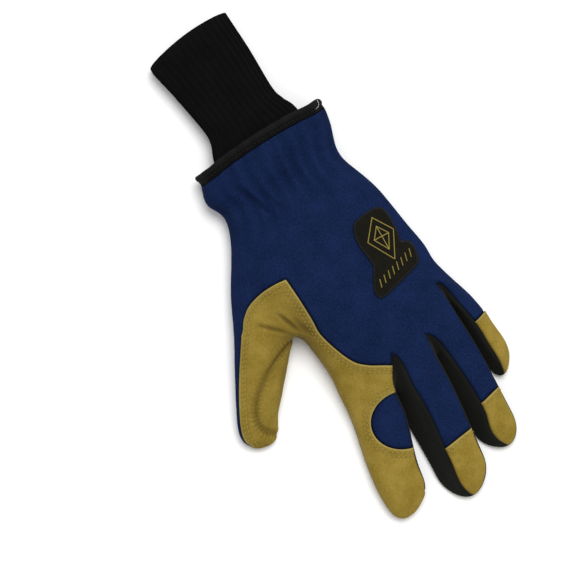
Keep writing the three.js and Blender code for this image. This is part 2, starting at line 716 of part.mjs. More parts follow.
function labelGeometry(skin) {
  const copy = { points: skin.points.slice(), normals: skin.normals.slice(), faces: skin.faces.slice() };
  cutByOutline(copy, 'upper', labelEdge, 'label', 'back_panel');
  return thicken(panelOf(copy, 'label'), () => labelLift + labelThickness, () => labelLift);
}

const glove = new THREE.Group();
const skin = buildSkin();
glove.add(mesh('cuff_binding', bindingGeometry(skin), black));
glove.add(mesh('label_patch', labelGeometry(skin), black));
pinCorner(skin, saddlePoint);
cutByOutline(skin, 'upper', [...saddleEdge, ...saddleOutside], 'saddle', 'back_panel');
cutByOutline(skin, 'saddle', ovalOutline(windowOval), 'index_window', 'saddle');
cutByOutline(skin, 'saddle', [...thumbSeam, ...thumbGap], 'thumb_front', 'saddle');
const depths = wallDepths(skin);
panels.forEach(([name, finish]) => {
  const panel = panelOf(skin, name);
  insetRim(panel, seamInset);
  glove.add(mesh(name, thicken(panel, () => 0, (k) => -depths[k]), finish));
});
glove.add(mesh('knit_wrist', knitGeometry(), black));

// The origin is the middle of the glove's box, on the floor
const middle = new THREE.Box3().setFromObject(glove).getCenter(new THREE.Vector3());
glove.position.set(-middle.x, -middle.y, 0);

export default glove;
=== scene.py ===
# Looks of a left-hand insulated work glove that lies palm down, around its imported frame.
# Shapes are worked out in millimetres from the same tables as the part, then put into the frame in metres.
import math

import bpy
import numpy as np
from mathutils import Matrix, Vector, noise
from mathutils.bvhtree import BVHTree
from mathutils.kdtree import KDTree


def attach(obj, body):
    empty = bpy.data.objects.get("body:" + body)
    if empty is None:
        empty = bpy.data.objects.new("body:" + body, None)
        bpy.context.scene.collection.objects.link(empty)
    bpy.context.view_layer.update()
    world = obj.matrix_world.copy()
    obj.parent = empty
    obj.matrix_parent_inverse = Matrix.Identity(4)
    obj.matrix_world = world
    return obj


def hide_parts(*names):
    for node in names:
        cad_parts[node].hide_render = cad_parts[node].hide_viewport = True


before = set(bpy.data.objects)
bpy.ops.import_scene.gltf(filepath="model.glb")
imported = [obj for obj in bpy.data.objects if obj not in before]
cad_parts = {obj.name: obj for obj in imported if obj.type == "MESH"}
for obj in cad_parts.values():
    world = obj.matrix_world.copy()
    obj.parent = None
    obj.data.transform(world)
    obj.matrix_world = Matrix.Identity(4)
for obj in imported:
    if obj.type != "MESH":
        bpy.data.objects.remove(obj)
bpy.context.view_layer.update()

mm = 0.001
tableShift = np.array([18.849, -2.837, 0.0])  # from the tables' zero, in mid hand, to the part's origin
scene = bpy.context.scene
scene.view_settings.view_transform = "Standard"

# Camera: straight down from far off, turned so that the fingers point to the lower right
cameraView = {"over": (-10.4, 1.4), "height": 2600.0, "seen": 378.6, "atHeight": 15.0, "turn": -33.0}
# The key light's size and direction are in degrees, the floor's size and level in metres
studio = {
    "ambient": 0.58, "key": 2.15, "keySize": 35.0, "keyFrom": (40.0, 66.0),
    "floor": "#ffffff", "floorRoughness": 0.95, "floorHalf": 3.0, "floorLevel": -0.0001,
}


def toLinear(hexColour):
    values = [int(hexColour[i:i + 2], 16) / 255 for i in (1, 3, 5)]
    return tuple(v / 12.92 if v <= 0.04045 else ((v + 0.055) / 1.055) ** 2.4 for v in values) + (1.0,)


def addNode(tree, kind, inputs=None, **settings):
    node = tree.nodes.new(kind)
    for name, value in settings.items():
        setattr(node, name, value)
    for name, value in (inputs or {}).items():
        socket = node.inputs[name]
        if isinstance(value, bpy.types.NodeSocket):
            tree.links.new(value, socket)
        else:
            socket.default_value = value
    return node


def newMaterial(name, finish):
    material = bpy.data.materials.new(name)
    material.use_nodes = True
    shader = material.node_tree.nodes["Principled BSDF"]
    for socket, value in finish.items():
        shader.inputs[socket].default_value = value
    return material


def addObject(name, data):
    made = bpy.data.objects.new(name, data)
    scene.collection.objects.link(made)
    return made


def plainMesh(made):
    return bpy.data.meshes.new_from_object(made.evaluated_get(bpy.context.evaluated_depsgraph_get()))


def placeCamera():
    data = bpy.data.cameras.new("camera")
    camera = addObject("camera", data)
    x, y = cameraView["over"]
    camera.location = (x * mm, y * mm, cameraView["height"] * mm)
    camera.rotation_euler = (0, 0, math.radians(cameraView["turn"]))
    data.lens = data.sensor_width * (cameraView["height"] - cameraView["atHeight"]) / cameraView["seen"]
    scene.camera = camera


def lightStudio():
    world = bpy.data.worlds.new("studio")
    world.use_nodes = True
    background = world.node_tree.nodes["Background"]
    background.inputs["Color"].default_value = (1, 1, 1, 1)
    background.inputs["Strength"].default_value = studio["ambient"]
    scene.world = world
    key = bpy.data.lights.new("key", "SUN")
    key.energy = studio["key"]
    key.angle = math.radians(studio["keySize"])
    azimuth, elevation = (math.radians(v) for v in studio["keyFrom"])
    level = math.cos(elevation)
    towards = Vector((math.cos(azimuth) * level, math.sin(azimuth) * level, math.sin(elevation)))
    addObject("key", key).rotation_euler = towards.to_track_quat("Z", "Y").to_euler()


def layFloor():
    mesh = bpy.data.meshes.new("floor")
    half, z = studio["floorHalf"], studio["floorLevel"]
    corners = [(-half, -half, z), (half, -half, z), (half, half, z), (-half, half, z)]
    mesh.from_pydata(corners, [], [(0, 1, 2, 3)])
    mesh.materials.append(newMaterial("matt studio floor", {
        "Base Color": toLinear(studio["floor"]), "Roughness": studio["floorRoughness"]}))
    addObject("floor", mesh)


print("camera, light and floor")
placeCamera()
lightStudio()
layFloor()


# The glove's shape. These tables say the same as the part's own.
def rowsOf(names, rows):
    return [dict(zip(names.split(), row)) for row in rows]


handSections = rowsOf("y tilt bow backX backZ sideX sideZ palmX", [
    (90.8, -0.8, -2.2, (-34, 48), (25, 34, 24), (-41, 55), (14, 14), (-34, 48)),
    (78, 0, -1, (-37, 45), (24, 33, 23), (-44, 51.8), (13, 13), (-36, 44)),
    (63, -3, 0, (-33, 39.6), (21, 29, 20), (-39.5, 46.8), (12, 11), (-33, 39)),
    (42, 0, 1, (-42, 44.5), (23, 33, 20), (-50, 51.8), (13, 10), (-42, 43)),
    (22, 0, 2, (-52, 48), (24, 36, 19), (-63, 56.4), (12, 9), (-54, 49)),
    (-2, 2, 2, (-46, 50.5), (29, 37, 18), (-60, 58.9), (12, 9), (-46, 50)),
    (-24.5, 9, 4, (-35, 53), (26, 36, 17), (-39.3, 61), (13, 8), (-37, 50)),
    (-42, 20, 6, (-32.5, 54.5), (24, 34, 16), (-37.7, 60.8), (12, 8), (-34.5, 51)),
])
webs = rowsOf("back gap palm", [
    ((-33, -66, 21), (-38.6, -66, 11), (-35.5, -66, 1)),
    ((4, -68, 29), (-4, -93, 13), (-9, -81, 1)),
    ((30, -69, 26.5), (23, -93, 12), (17, -81, 1)),
    ((54, -45.5, 21), (49, -72, 11), (41, -63, 1)),
    ((61, -44, 14.5), (64, -47, 7), (57, -47, 1)),
])
ringNames = "y x z palmX"
fingers = rowsOf("name tip outerBulge innerBulge capFrom sections", [
    ("index", (-43, -164.5, 6), 3.5, -0.6, None, rowsOf(ringNames, [
        ((-86, -88), (-36, -6.5), (18, 22), (-39, -15)),
        ((-104, -104), (-40, -9.5), (16.5, 19.5), (-43, -20)),
        ((-124, -125), (-45, -16.5), (15.5, 17.5), (-48, -26)),
        ((-142, -141), (-48.5, -21.5), (14, 15), (-50.5, -30)),
        ((-156, -155), (-49.7, -26), (10.5, 11.5), (-49.5, -33)),
    ])),
    ("middle", (-0.5, -176, 5.5), 1.0, 1.0, 3, rowsOf(ringNames, [
        ((-90, -88), (4.4, 27.5), (25, 23), (-9, 17)),
        ((-111, -108), (3.5, 26), (22, 19), (-12, 14)),
        ((-139, -137), (-0.6, 21.6), (18.5, 16), (-13.6, 10)),
        ((-154, -153), (-3, 19), (16, 14), (-15, 7)),
        ((-165.5, -165.5), (-4.4, 15), (11.5, 10.5), (-12.5, 4)),
    ])),
    ("ring", (36.5, -161, 5), 1.0, 1.0, 3, rowsOf(ringNames, [
        ((-84, -76), (34.8, 54), (22, 18), (20, 42)),
        ((-101, -97), (35.7, 53.7), (20, 15.5), (19, 41)),
        ((-127, -124), (35.4, 51.5), (17, 13), (22, 40)),
        ((-141.5, -140), (32, 50), (14.5, 11.5), (21.3, 38)),
        ((-152, -152), (31.5, 47.5), (10.5, 9), (24, 37)),
    ])),
    ("little", (59.5, -119.8, 5.5), 1.0, 2.0, 2, rowsOf(ringNames, [
        ((-62, -60), (58.5, 67.2), (19, 11), (48.5, 62)),
        ((-80, -78), (61, 70.2), (18, 10.5), (51, 63.5)),
        ((-96, -96), (60.6, 71.2), (16, 10), (52, 64)),
        ((-112.5, -109.5), (60.4, 69.2), (11.5, 8), (52.8, 63.5)),
    ])),
])
thumb = {"tip": (-98.3, -74.8, 5.5), "sections": rowsOf("at half top seamIn", [
    ((-61.5, -14.7), 19.3, 29, 5.3),
    ((-77, -34.5), 16.4, 24, 3.2),
    ((-89.5, -51.5), 13.7, 20, 1.8),
    ((-95.8, -62.8), 12.9, 15, 1.5),
    ((-97.4, -70.6), 9.4, 10.5, 1),
])}
fingertips = np.array([finger["tip"] for finger in fingers] + [thumb["tip"]])
# The skin: how far its underside sinks or rises and the backs are crowned, how finely it is made, and how the
# wrist elastic gathers it, ending towards the hand, looser at the cuff's edge and uneven from flute to flute
skinSettings = {
    "floorSink": -0.7, "palmRise": 1.2, "palmBack": 2, "fingerRise": 1.4, "backCrown": 2.4,
    "backColumns": 8, "fitRounds": 14, "subdivisions": 4,
    "gatherDepth": 1.5, "gatherEnd": 30.0, "edgeLoose": 0.35, "fluteVary": 0.5,
}
wristRows = 3
thumbRows = (4, 6)
columnsAround = 2 * skinSettings["backColumns"] + 4
strips = ["fourchette_index_middle", "fourchette_middle_ring", "fourchette_ring_little"]
cage = {"points": [], "columns": [], "faces": [], "tags": []}


def addPoint(at, column=0):
    cage["points"].append(tuple(at))
    cage["columns"].append(column)
    return len(cage["points"]) - 1


def mix(a, b, t):
    return a + (b - a) * t


# The height of an arch over t = 0 to 1, through its two ends and its crest
def arch(ends, t):
    start, crest, end = ends
    return start * (1 - t) * (1 - 2 * t) + crest * 4 * t * (1 - t) + end * t * (2 * t - 1)


def handRow(section):
    count = skinSettings["backColumns"]
    under = (skinSettings["palmRise"], skinSettings["floorSink"], skinSettings["palmRise"])
    row = []

    def yAt(t):
        return section["y"] + section["tilt"] * (t - 0.5) - section["bow"] * 4 * t * (1 - t)

    for i in range(count + 1):
        t = i / count
        row.append(addPoint((mix(*section["backX"], t), yAt(t), arch(section["backZ"], t)), len(row)))
    row.append(addPoint((section["sideX"][1], yAt(1), section["sideZ"][1]), len(row)))
    for i in range(count, -1, -1):
        t = i / count
        y = yAt(t) - skinSettings["palmBack"]
        row.append(addPoint((mix(*section["palmX"], t), y, arch(under, t)), len(row)))
    row.append(addPoint((section["sideX"][0], yAt(0), section["sideZ"][0]), len(row)))
    return row


# The last row of the hand, over the points where the fingers part
def knuckleRow():
    backs, palms = [], []
    for i, web in enumerate(webs):
        if i > 0:
            crest, low = (np.add(webs[i - 1][side], web[side]) / 2 for side in ("back", "palm"))
            backs.append(addPoint((crest[0], crest[1], crest[2] + skinSettings["backCrown"])))
            palms.append(addPoint((low[0], low[1], skinSettings["floorSink"])))
        backs.append(addPoint(web["back"]))
        palms.append(addPoint(web["palm"]))
    return backs, palms, [addPoint(web["gap"]) for web in webs]


# Eight points round a finger; left is the side of the thumb
def fingerRing(finger, section):
    rises = (skinSettings["fingerRise"],) * 2
    left, right = np.transpose([section["x"], section["y"], section["z"]])
    palmLeft, palmRight = np.transpose([section["palmX"], section["y"], rises])
    across = right - left
    proud = np.array([-across[2], 0, across[0]])
    crest = (left + right) / 2 + proud / np.linalg.norm(proud) * skinSettings["backCrown"]
    low = (palmLeft + palmRight) / 2
    low[2] = skinSettings["floorSink"]
    outer = (left + palmLeft) / 2 - np.array([finger["outerBulge"], 0, 0])
    inner = (right + palmRight) / 2 + np.array([finger["innerBulge"], 0, 0])
    return [addPoint(p) for p in (left, crest, right, inner, palmRight, low, palmLeft, outer)]


# Eight points round the thumb, each by how far across it is and its share of the top's height
def thumbRing(section, towards):
    x, y = section["at"]
    half, top = section["half"], section["top"]
    run = np.array([towards[0] - x, towards[1] - y])
    run = run / np.linalg.norm(run)
    around = [
        (-(half - section["seamIn"]), 0.74), (0, 1), (0.64 * half, 0.8), (half, 0.42),
        (0.62 * half, 0.06), (0, skinSettings["floorSink"] / top), (-0.64 * half, 0.06), (-half, 0.42),
    ]
    return [addPoint((x - run[1] * u, y + run[0] * u, top * h)) for u, h in around]


def addFace(corners, tag):
    cage["faces"].append(corners)
    cage["tags"].append(tag)


def addBand(near, far, tagOf):
    for j, corner in enumerate(near):
        after = (j + 1) % len(near)
        tag = tagOf(j)
        if tag:
            addFace((corner, far[j], far[after], near[after]), tag)


def addTip(ring, at, tags):
    tip = addPoint(at)
    for i, tag in enumerate(tags):
        addFace((ring[(2 * i + 2) % 8], ring[2 * i + 1], ring[2 * i], tip), tag)


def handTag(row, column):
    count = skinSettings["backColumns"]
    if column <= count:
        return "upper"
    if column < count + 2:
        return "back_panel"
    if column < 2 * count + 2:
        return "wrist_panel" if row < wristRows else "palm"
    if thumbRows[0] <= row < thumbRows[1]:
        return None
    return "back_panel" if row < thumbRows[0] else "saddle"


def buildHand():
    rows = [handRow(section) for section in handSections]
    backs, palms, gaps = knuckleRow()
    rows.append([*backs, gaps[4], *reversed(palms), gaps[0]])
    for i in range(len(rows) - 1):
        addBand(rows[i], rows[i + 1], lambda j: handTag(i, j))
    return rows, backs, palms, gaps


def buildFinger(finger, i, backs, palms, gaps):
    ring = [*backs[2 * i:2 * i + 3], gaps[i + 1], *palms[2 * i:2 * i + 3][::-1], gaps[i]]
    isIndex = finger["name"] == "index"
    cap = "saddle" if isIndex else "cap_" + finger["name"]
    for s, section in enumerate(finger["sections"]):
        following = fingerRing(finger, section)
        back = "upper" if isIndex else "back_panel" if s < finger["capFrom"] else cap
        outer = "saddle" if i == 0 else strips[i - 1]
        inner = back if i == 3 else strips[i]
        tags = [back, back, inner, inner, "palm", "palm", outer, outer]
        addBand(ring, following, lambda j: tags[j])
        ring = following
    inner = cap if i % 3 == 0 else strips[i]
    outer = cap if i == 0 else strips[i - 1]
    addTip(ring, finger["tip"], [cap, inner, "palm", outer])


def buildThumb(rows):
    first, last = thumbRows
    side = columnsAround - 1
    edge = side - 1
    ring = [rows[first][0], rows[first + 1][0], rows[last][0], rows[last][side],
            rows[last][edge], rows[first + 1][edge], rows[first][edge], rows[first][side]]
    tags = ["upper", "upper", "saddle", "saddle", "thumb_front", "thumb_front", "back_panel", "back_panel"]
    places = [section["at"] for section in thumb["sections"]] + [thumb["tip"]]
    for s, section in enumerate(thumb["sections"]):
        following = thumbRing(section, places[s + 1])
        addBand(ring, following, lambda j: tags[j])
        ring = following
    addTip(ring, thumb["tip"], ["saddle", "saddle", "thumb_front", "saddle"])


def edgeKey(a, b):
    return min(a, b), max(a, b)


def sidesOf(faces):
    return [(a, b) for f in faces for a, b in zip(f, f[1:] + f[:1])]


# The faces at each edge
def edgeFaces(faces):
    found = {}
    for i, f in enumerate(faces):
        for a, b in sidesOf([f]):
            found.setdefault(edgeKey(a, b), []).append(i)
    return found


# One row for each point of the cage: how its own place and its neighbours' give its place on the skin
def limitMatrix(count, faces):
    near, rim, across = ([[] for _ in range(count)] for _ in range(3))
    for corners in faces:
        for k, c in enumerate(corners):
            across[c].append(corners[(k + 2) % 4])
    for (a, b), owners in edgeFaces(faces).items():
        for p, q in ((a, b), (b, a)):
            near[p].append(q)
            if len(owners) == 1:
                rim[p].append(q)
    weights = np.zeros((count, count))
    for p in range(count):
        n = len(near[p])
        if len(rim[p]) == 2:
            weights[p, p] = 4 / 6
            weights[p, rim[p]] = 1 / 6
        elif n == 0:  # the hand's side, where the thumb opens off it
            weights[p, p] = 1
        else:
            weights[p, p] = n * n
            np.add.at(weights[p], near[p], 4)
            np.add.at(weights[p], across[p], 1)
            weights[p] /= n * (n + 5)
    return weights


def fitCage():
    wanted = np.array(cage["points"], float)
    weights = limitMatrix(len(wanted), cage["faces"])
    held = wanted.copy()
    for _ in range(skinSettings["fitRounds"]):
        held += wanted - weights @ held
    return held


def readLayer(data, name, width):
    found = np.empty(len(data) * width)
    data.foreach_get(name, found)
    return found.reshape(-1, width)


def addLayer(mesh, name, values, kind="FLOAT", domain="POINT"):
    field = "vector" if kind == "FLOAT_VECTOR" else "value"
    mesh.attributes.new(name, kind, domain).data.foreach_set(field, np.ravel(values))


def vertexNormals(points, faces):
    mesh = bpy.data.meshes.new("measure")
    mesh.from_pydata(points.tolist(), [], faces)
    found = readLayer(mesh.vertices, "normal", 3)
    bpy.data.meshes.remove(mesh)
    return found


# The fine skin of the whole glove: the cage smoothed by Subdivision Surface, with each face's panel and each
# point's place round the wrist
def smoothedSkin():
    rows, backs, palms, gaps = buildHand()
    for i, finger in enumerate(fingers):
        buildFinger(finger, i, backs, palms, gaps)
    buildThumb(rows)
    names = sorted(set(cage["tags"]))
    angles = np.array(cage["columns"]) * 2 * math.pi / columnsAround
    mesh = bpy.data.meshes.new("cage")
    mesh.from_pydata(fitCage().tolist(), [], cage["faces"])
    addLayer(mesh, "panel", [names.index(tag) for tag in cage["tags"]], "INT", "FACE")
    addLayer(mesh, "around", np.column_stack([np.cos(angles), np.sin(angles), 0 * angles]), "FLOAT_VECTOR")
    cageObject = addObject("cage", mesh)
    smooth = cageObject.modifiers.new("smooth", "SUBSURF")
    smooth.levels = smooth.render_levels = skinSettings["subdivisions"]
    smooth.use_limit_surface = True
    smooth.boundary_smooth = "ALL"
    fine = plainMesh(cageObject)
    bpy.data.objects.remove(cageObject)
    around = readLayer(fine.attributes["around"].data, "vector", 3)
    tags = readLayer(fine.attributes["panel"].data, "value", 1)
    turns = np.arctan2(around[:, 1], around[:, 0]) / (2 * math.pi)
    return {
        "points": readLayer(fine.vertices, "co", 3), "column": turns * columnsAround % columnsAround,
        "faces": [tuple(p.vertices) for p in fine.polygons], "tags": [names[int(t)] for t in tags[:, 0]],
    }


# Seen from above: the edge of the leather that wraps thumb and index, with a sharp corner on the back. It
# then runs round far outside, where the seams of thumb and index take over.
saddlePoint = (-27.6, 10.4)
saddleEdge = [
    (-82, -10), (-70.8, -4.1), (-65, 2.8), (-58.3, 8.1), (-51, 10.6), (-43.2, 11.7), (-34.5, 11.4),
    saddlePoint, (-27.3, -5), (-27.6, -21), (-28.3, -31.5), (-24.6, -47), (-19.5, -59), (-12.5, -66),
    (-4, -71.5), (4, -77),
]
saddleOutside = [(12, -80), (12, -220), (-160, -220), (-160, -30)]
# The gathered seam on the thumb, then back through the open space between thumb and index
thumbSeam = [
    (-42, -24.5), (-55.6, -28.4), (-66.6, -32.8), (-76.5, -37.9), (-87.3, -45.6), (-93, -54), (-94.4, -60),
    (-93, -65.8), (-89, -70),
]
thumbGap = [(-84, -76), (-60, -64), (-45, -42)]
windowOval = {"centre": (-12.2, -108.6), "radii": (22.6, 19.2), "turn": -14, "points": 72}


# A smooth line through points, as short straight steps
def smoothLine(points, steps=6, closed=False):
    pts = np.array(points, float)
    if closed:
        pts = np.concatenate([pts[-1:], pts, pts[:2]])
    else:
        pts = np.concatenate([[2 * pts[0] - pts[1]], pts, [2 * pts[-1] - pts[-2]]])
    line = []
    for a, b, c, d in zip(pts, pts[1:], pts[2:], pts[3:]):
        for t in np.arange(steps) / steps:
            line.append(((2 * b + (c - a) * t + (2 * a - 5 * b + 4 * c - d) * t * t
                          + (3 * b - a - 3 * c + d) * t ** 3) / 2))
    return np.array(line if closed else line + [pts[-2]])


def ovalOutline(oval):
    turn = math.radians(oval["turn"])
    angles = np.linspace(0, 2 * math.pi, oval["points"], endpoint=False)
    u, v = oval["radii"][0] * np.cos(angles), oval["radii"][1] * np.sin(angles)
    return np.column_stack([oval["centre"][0] + u * math.cos(turn) - v * math.sin(turn),
                            oval["centre"][1] + u * math.sin(turn) + v * math.cos(turn)])


# For points in plan: how far along a straight step each one lies, from 0 to 1, and how far away from it
def besideStep(xy, a, b):
    d = b - a
    t = np.clip(((xy - a) @ d) / (d @ d), 0, 1)
    return t, np.linalg.norm(xy - a - t[:, None] * d, axis=1)


# How far points in plan are inside (+) or outside (-) an outline
def insideBy(outline, xy):
    nearest = np.full(len(xy), np.inf)
    inside = np.zeros(len(xy), bool)
    for a, b in zip(outline, np.roll(outline, -1, axis=0)):
        nearest = np.minimum(nearest, besideStep(xy, a, b)[1])
        if a[1] != b[1]:
            crosses = (a[1] > xy[:, 1]) != (b[1] > xy[:, 1])
            inside ^= crosses & (xy[:, 0] < a[0] + (xy[:, 1] - a[1]) / (b[1] - a[1]) * (b[0] - a[0]))
    return np.where(inside, nearest, -nearest)


# Gives the faces of one panel that lie inside an outline a new tag. Points near the outline are slid onto it,
# along the edges that cross it, and a face with the outline on its diagonal is halved.
def cutByOutline(skin, tag, outline, newTag, restTag):
    points, faces, tags = skin["points"], skin["faces"], skin["tags"]
    chosen = [f for f, t in enumerate(tags) if t == tag]
    used = np.unique([c for f in chosen for c in faces[f]])
    depth = np.zeros(len(points))
    depth[used] = insideBy(outline, points[used, :2])
    owned = {edge: {tags[f] == tag for f in owners} for edge, owners in edgeFaces(faces).items()}
    onRim = {c for edge, own in owned.items() if len(own) == 2 for c in edge}
    crossing = [(a, b) for (a, b), own in owned.items() if depth[a] * depth[b] < 0 and True in own]
    moves = {}
    for a, b in crossing:
        t = depth[a] / (depth[a] - depth[b])
        slide, other, share = (a, b, t) if t < 0.5 else (b, a, 1 - t)
        if slide in onRim and other not in onRim:
            slide, other, share = other, slide, 1 - share
        if slide not in moves or moves[slide][1] > share:
            moves[slide] = (other, share)
    was = points.copy()
    for slide, (other, share) in moves.items():
        points[slide] = mix(was[slide], was[other], share)
        depth[slide] = 0
    for f in chosen:
        signs = [np.sign(depth[c]) for c in faces[f]]
        if 1 in signs and -1 in signs:
            start = signs.index(0) if 0 in signs else 0
            corners = faces[f][start:] + faces[f][:start]
            halves = [corners[:3]]
            if len(corners) == 4:
                halves.append((corners[2], corners[3], corners[0]))
            sides = [newTag if depth[list(half)].sum() > 0 else restTag for half in halves]
            faces[f], tags[f] = halves[0], sides[0]
            faces += halves[1:]
            tags += sides[1:]
        else:
            tags[f] = newTag if sum(signs) > 0 else restTag


def pinCorner(skin, corner):
    back = np.unique([c for f, t in zip(skin["faces"], skin["tags"]) if t == "upper" for c in f])
    nearest = back[np.argmin(np.linalg.norm(skin["points"][back, :2] - corner, axis=1))]
    skin["points"][nearest, :2] = corner


def smoothStep(t):
    s = np.clip(t, 0, 1)
    return s * s * (3 - 2 * s)


# How strongly the wrist elastic gathers the cloth at this distance along the glove
def gatherAt(y):
    elasticY = handSections[2]["y"]
    fromHand = smoothStep((y - skinSettings["gatherEnd"]) / (elasticY - skinSettings["gatherEnd"]))
    toEdge = smoothStep((y - elasticY) / (handSections[0]["y"] - elasticY))
    return skinSettings["gatherDepth"] * fromHand * (1 - skinSettings["edgeLoose"] * toEdge)


# Soft flutes that the elastic draws up, each a little different from the next
def gatherWrist(skin):
    points, column = skin["points"], skin["column"]
    normals = vertexNormals(points, skin["faces"])
    vary = skinSettings["fluteVary"]
    uneven = np.array([1 - vary / 2 + vary * noise.random() for _ in range(columnsAround + 1)])
    uneven[-1] = uneven[0]
    share = np.interp(column, np.arange(columnsAround + 1), uneven)
    fold = gatherAt(points[:, 1]) * share * np.sin(math.pi * column) ** 2
    skin["drawn"] = fold / skinSettings["gatherDepth"]
    points -= normals * fold[:, None]
    points[:, 2] = np.maximum(points[:, 2], 0)


# How far inside its lapped edge each of these panels is stitched
stitchedAt = {
    "saddle": (2.4, 4.8), "palm": (2.4,), "cap_middle": (2.3,), "cap_ring": (2.3,), "cap_little": (2.3,),
}
# Which panel lies over which at a lapped seam. All other seams are turned in.
laps = {
    ("saddle", "back_panel"), ("saddle", "index_window"), ("cap_middle", "back_panel"),
    ("cap_ring", "back_panel"), ("cap_little", "back_panel"), ("palm", "wrist_panel"),
}
puckered = {"saddle", "thumb_front"}


def seamKind(own, other):
    if (own, other) in laps:
        return "over"
    if (other, own) in laps:
        return "under"
    return "puckered" if {own, other} == puckered else "turned"


# The seams as chains of points: for each pair of panels, lists of point numbers that follow each other
def findSeams(skin):
    links = {}
    for edge, owners in edgeFaces(skin["faces"]).items():
        tags = {skin["tags"][f] for f in owners}
        if len(tags) == 2:
            links.setdefault(tuple(sorted(tags)), []).append(edge)
    return {pair: chainsOf(edges) for pair, edges in links.items()}


def chainsOf(edges):
    near = {}
    for a, b in edges:
        near.setdefault(a, []).append(b)
        near.setdefault(b, []).append(a)
    left = set(edges)
    chains = []
    for start in sorted(p for p in near if len(near[p]) != 2) + sorted(near):
        for second in near[start]:
            if edgeKey(start, second) not in left:
                continue
            chain = [start]
            following = [second]
            while following:
                here = following[0]
                left.discard(edgeKey(chain[-1], here))
                chain.append(here)
                onward = near[here] if len(near[here]) == 2 else []
                following = [q for q in onward if edgeKey(here, q) in left]
            chains.append(chain)
    return chains


def runsAlong(line):
    return np.concatenate([[0], np.cumsum(np.linalg.norm(np.diff(line, axis=0), axis=1))])


# For each point of a panel, how far it is from each kind of seam round it, and how far along that seam
def seamDistances(skin, seams, tag, members, step=0.35):
    points = skin["points"]
    samples = {}
    for pair, chains in seams.items():
        if tag not in pair:
            continue
        kind = seamKind(tag, pair[1] if pair[0] == tag else pair[0])
        for chain in chains:
            line = points[chain]
            runs = runsAlong(line)
            dense = np.concatenate([np.arange(0, runs[-1], step), runs])
            at = np.column_stack([np.interp(dense, runs, line[:, k]) for k in range(3)])
            samples.setdefault(kind, []).append((at, dense))
    found = {}
    for kind, parts in samples.items():
        at, along = (np.concatenate(column) for column in zip(*parts))
        tree = KDTree(len(at))
        for i, p in enumerate(at):
            tree.insert(p, i)
        tree.balance()
        hits = [tree.find(points[m]) for m in members]
        found[kind] = (np.array([hit[2] for hit in hits]), along[[hit[1] for hit in hits]])
    return found


# What each kind of seam, and a row of stitches, does to a panel: how much it raises or sinks it, how much
# shade or highlight is painted on it, how far from the seam and over what width. Shade is painted under a
# lapped edge and in a row's groove, and a highlight along the lapped edge itself.
seamShapes = {
    "turned": {"height": [(-0.8, 0, 0.9), (0.22, 2.8, 1.6)]},
    "puckered": {"height": [(-1.0, 0, 1.7), (0.22, 3.6, 1.6)]},
    "over": {"edge": [(0.5, 0, 0.7)]},
    "under": {"height": [(-0.5, 0, 1.1)], "hollow": [(0.9, 0, 1.1)]},
    "row": {"height": [(-0.25, 0, 0.6)], "hollow": [(0.38, 0, 0.6)]},
}
# A lapped edge stands proud. The tones say how much shade is painted into sunk places, flutes and creases,
# and how much light is painted onto steep sides. The relief fades at the fingertips, and the soft unevenness
# of a material starts a little way from its seams.
relief = {
    "lapRise": 0.7, "lapRun": 9.0, "sunkTone": 0.6, "sunkAt": 0.8, "gatherTone": 0.2, "creaseTone": 0.8,
    "sideTone": 1.2, "atTips": 0.3, "tipFrom": 4, "tipRun": 14, "clearFrom": 0.2, "clearRun": 4,
}
# Small folds along the thumb's gathered seam, not quite even, where the leather looks up
puckers = {
    "pitch": 2.6, "depth": 1.1, "reach": 5.0, "sway": 0.8, "swayRun": 4.1, "upFrom": 0.3, "upRun": 0.4,
}
# Creases in the leather and the cloth: the line in plan, depth and width
creases = rowsOf("line depth width", [
    ([(-44.5, -4.7), (-41.5, -14), (-39.2, -23)], 1.3, 1.2),
    ([(-60.5, -3.5), (-53, -11), (-45, -20.5)], 1.4, 1.2),
    ([(-39, -11), (-35.2, -22.5), (-31, -31)], 1.0, 3.0),
    ([(-50.6, -31), (-61, -40), (-70.1, -50.3), (-80.9, -61.5)], 0.8, 1.6),
    ([(-20, 74), (-15, 62), (-12, 52)], 0.7, 2.2),
    ([(-13, 70), (-7, 60), (-4, 49)], 0.5, 2.0),
])
# A crease runs out at its ends and has a low bulge along each side
creaseShape = {"endShare": 0.02, "endPower": 0.6, "bulge": 0.45, "bulgeAt": 2.2, "bulgeWidth": 1.2}
# Painted shade on the leather in the hollow between the thumb and the hand
crotchShadeSpot = {"at": (-37, -19), "radius": 23.0, "tone": 0.36}
# Wave length and height of each material's soft unevenness
surface = {"leather": [(14.0, 0.4), (5.0, 0.14)], "cloth": [(22.0, 0.35), (7.0, 0.1)], "strip": [(12.0, 0.3)]}


def bell(d, width):
    return np.exp(-(d / width) ** 2)


def creaseRelief(points, normals):
    height = np.zeros(len(points))
    facing = np.clip(normals[:, 2], 0, 1)
    for crease in creases:
        line = smoothLine(crease["line"], steps=10)
        near = np.full(len(points), np.inf)
        along = np.zeros(len(points))
        for i, (a, b) in enumerate(zip(line[:-1], line[1:])):
            t, away = besideStep(points[:, :2], a, b)
            closer = away < near
            near[closer] = away[closer]
            along[closer] = (i + t[closer]) / (len(line) - 1)
        end, width = creaseShape["endShare"], crease["width"]
        taper = np.sin(math.pi * np.clip(along, end, 1 - end)) ** creaseShape["endPower"]
        bulge = bell(near - creaseShape["bulgeAt"] * width, width * creaseShape["bulgeWidth"])
        height += crease["depth"] * taper * (creaseShape["bulge"] * bulge - bell(near, width)) * facing
    return height
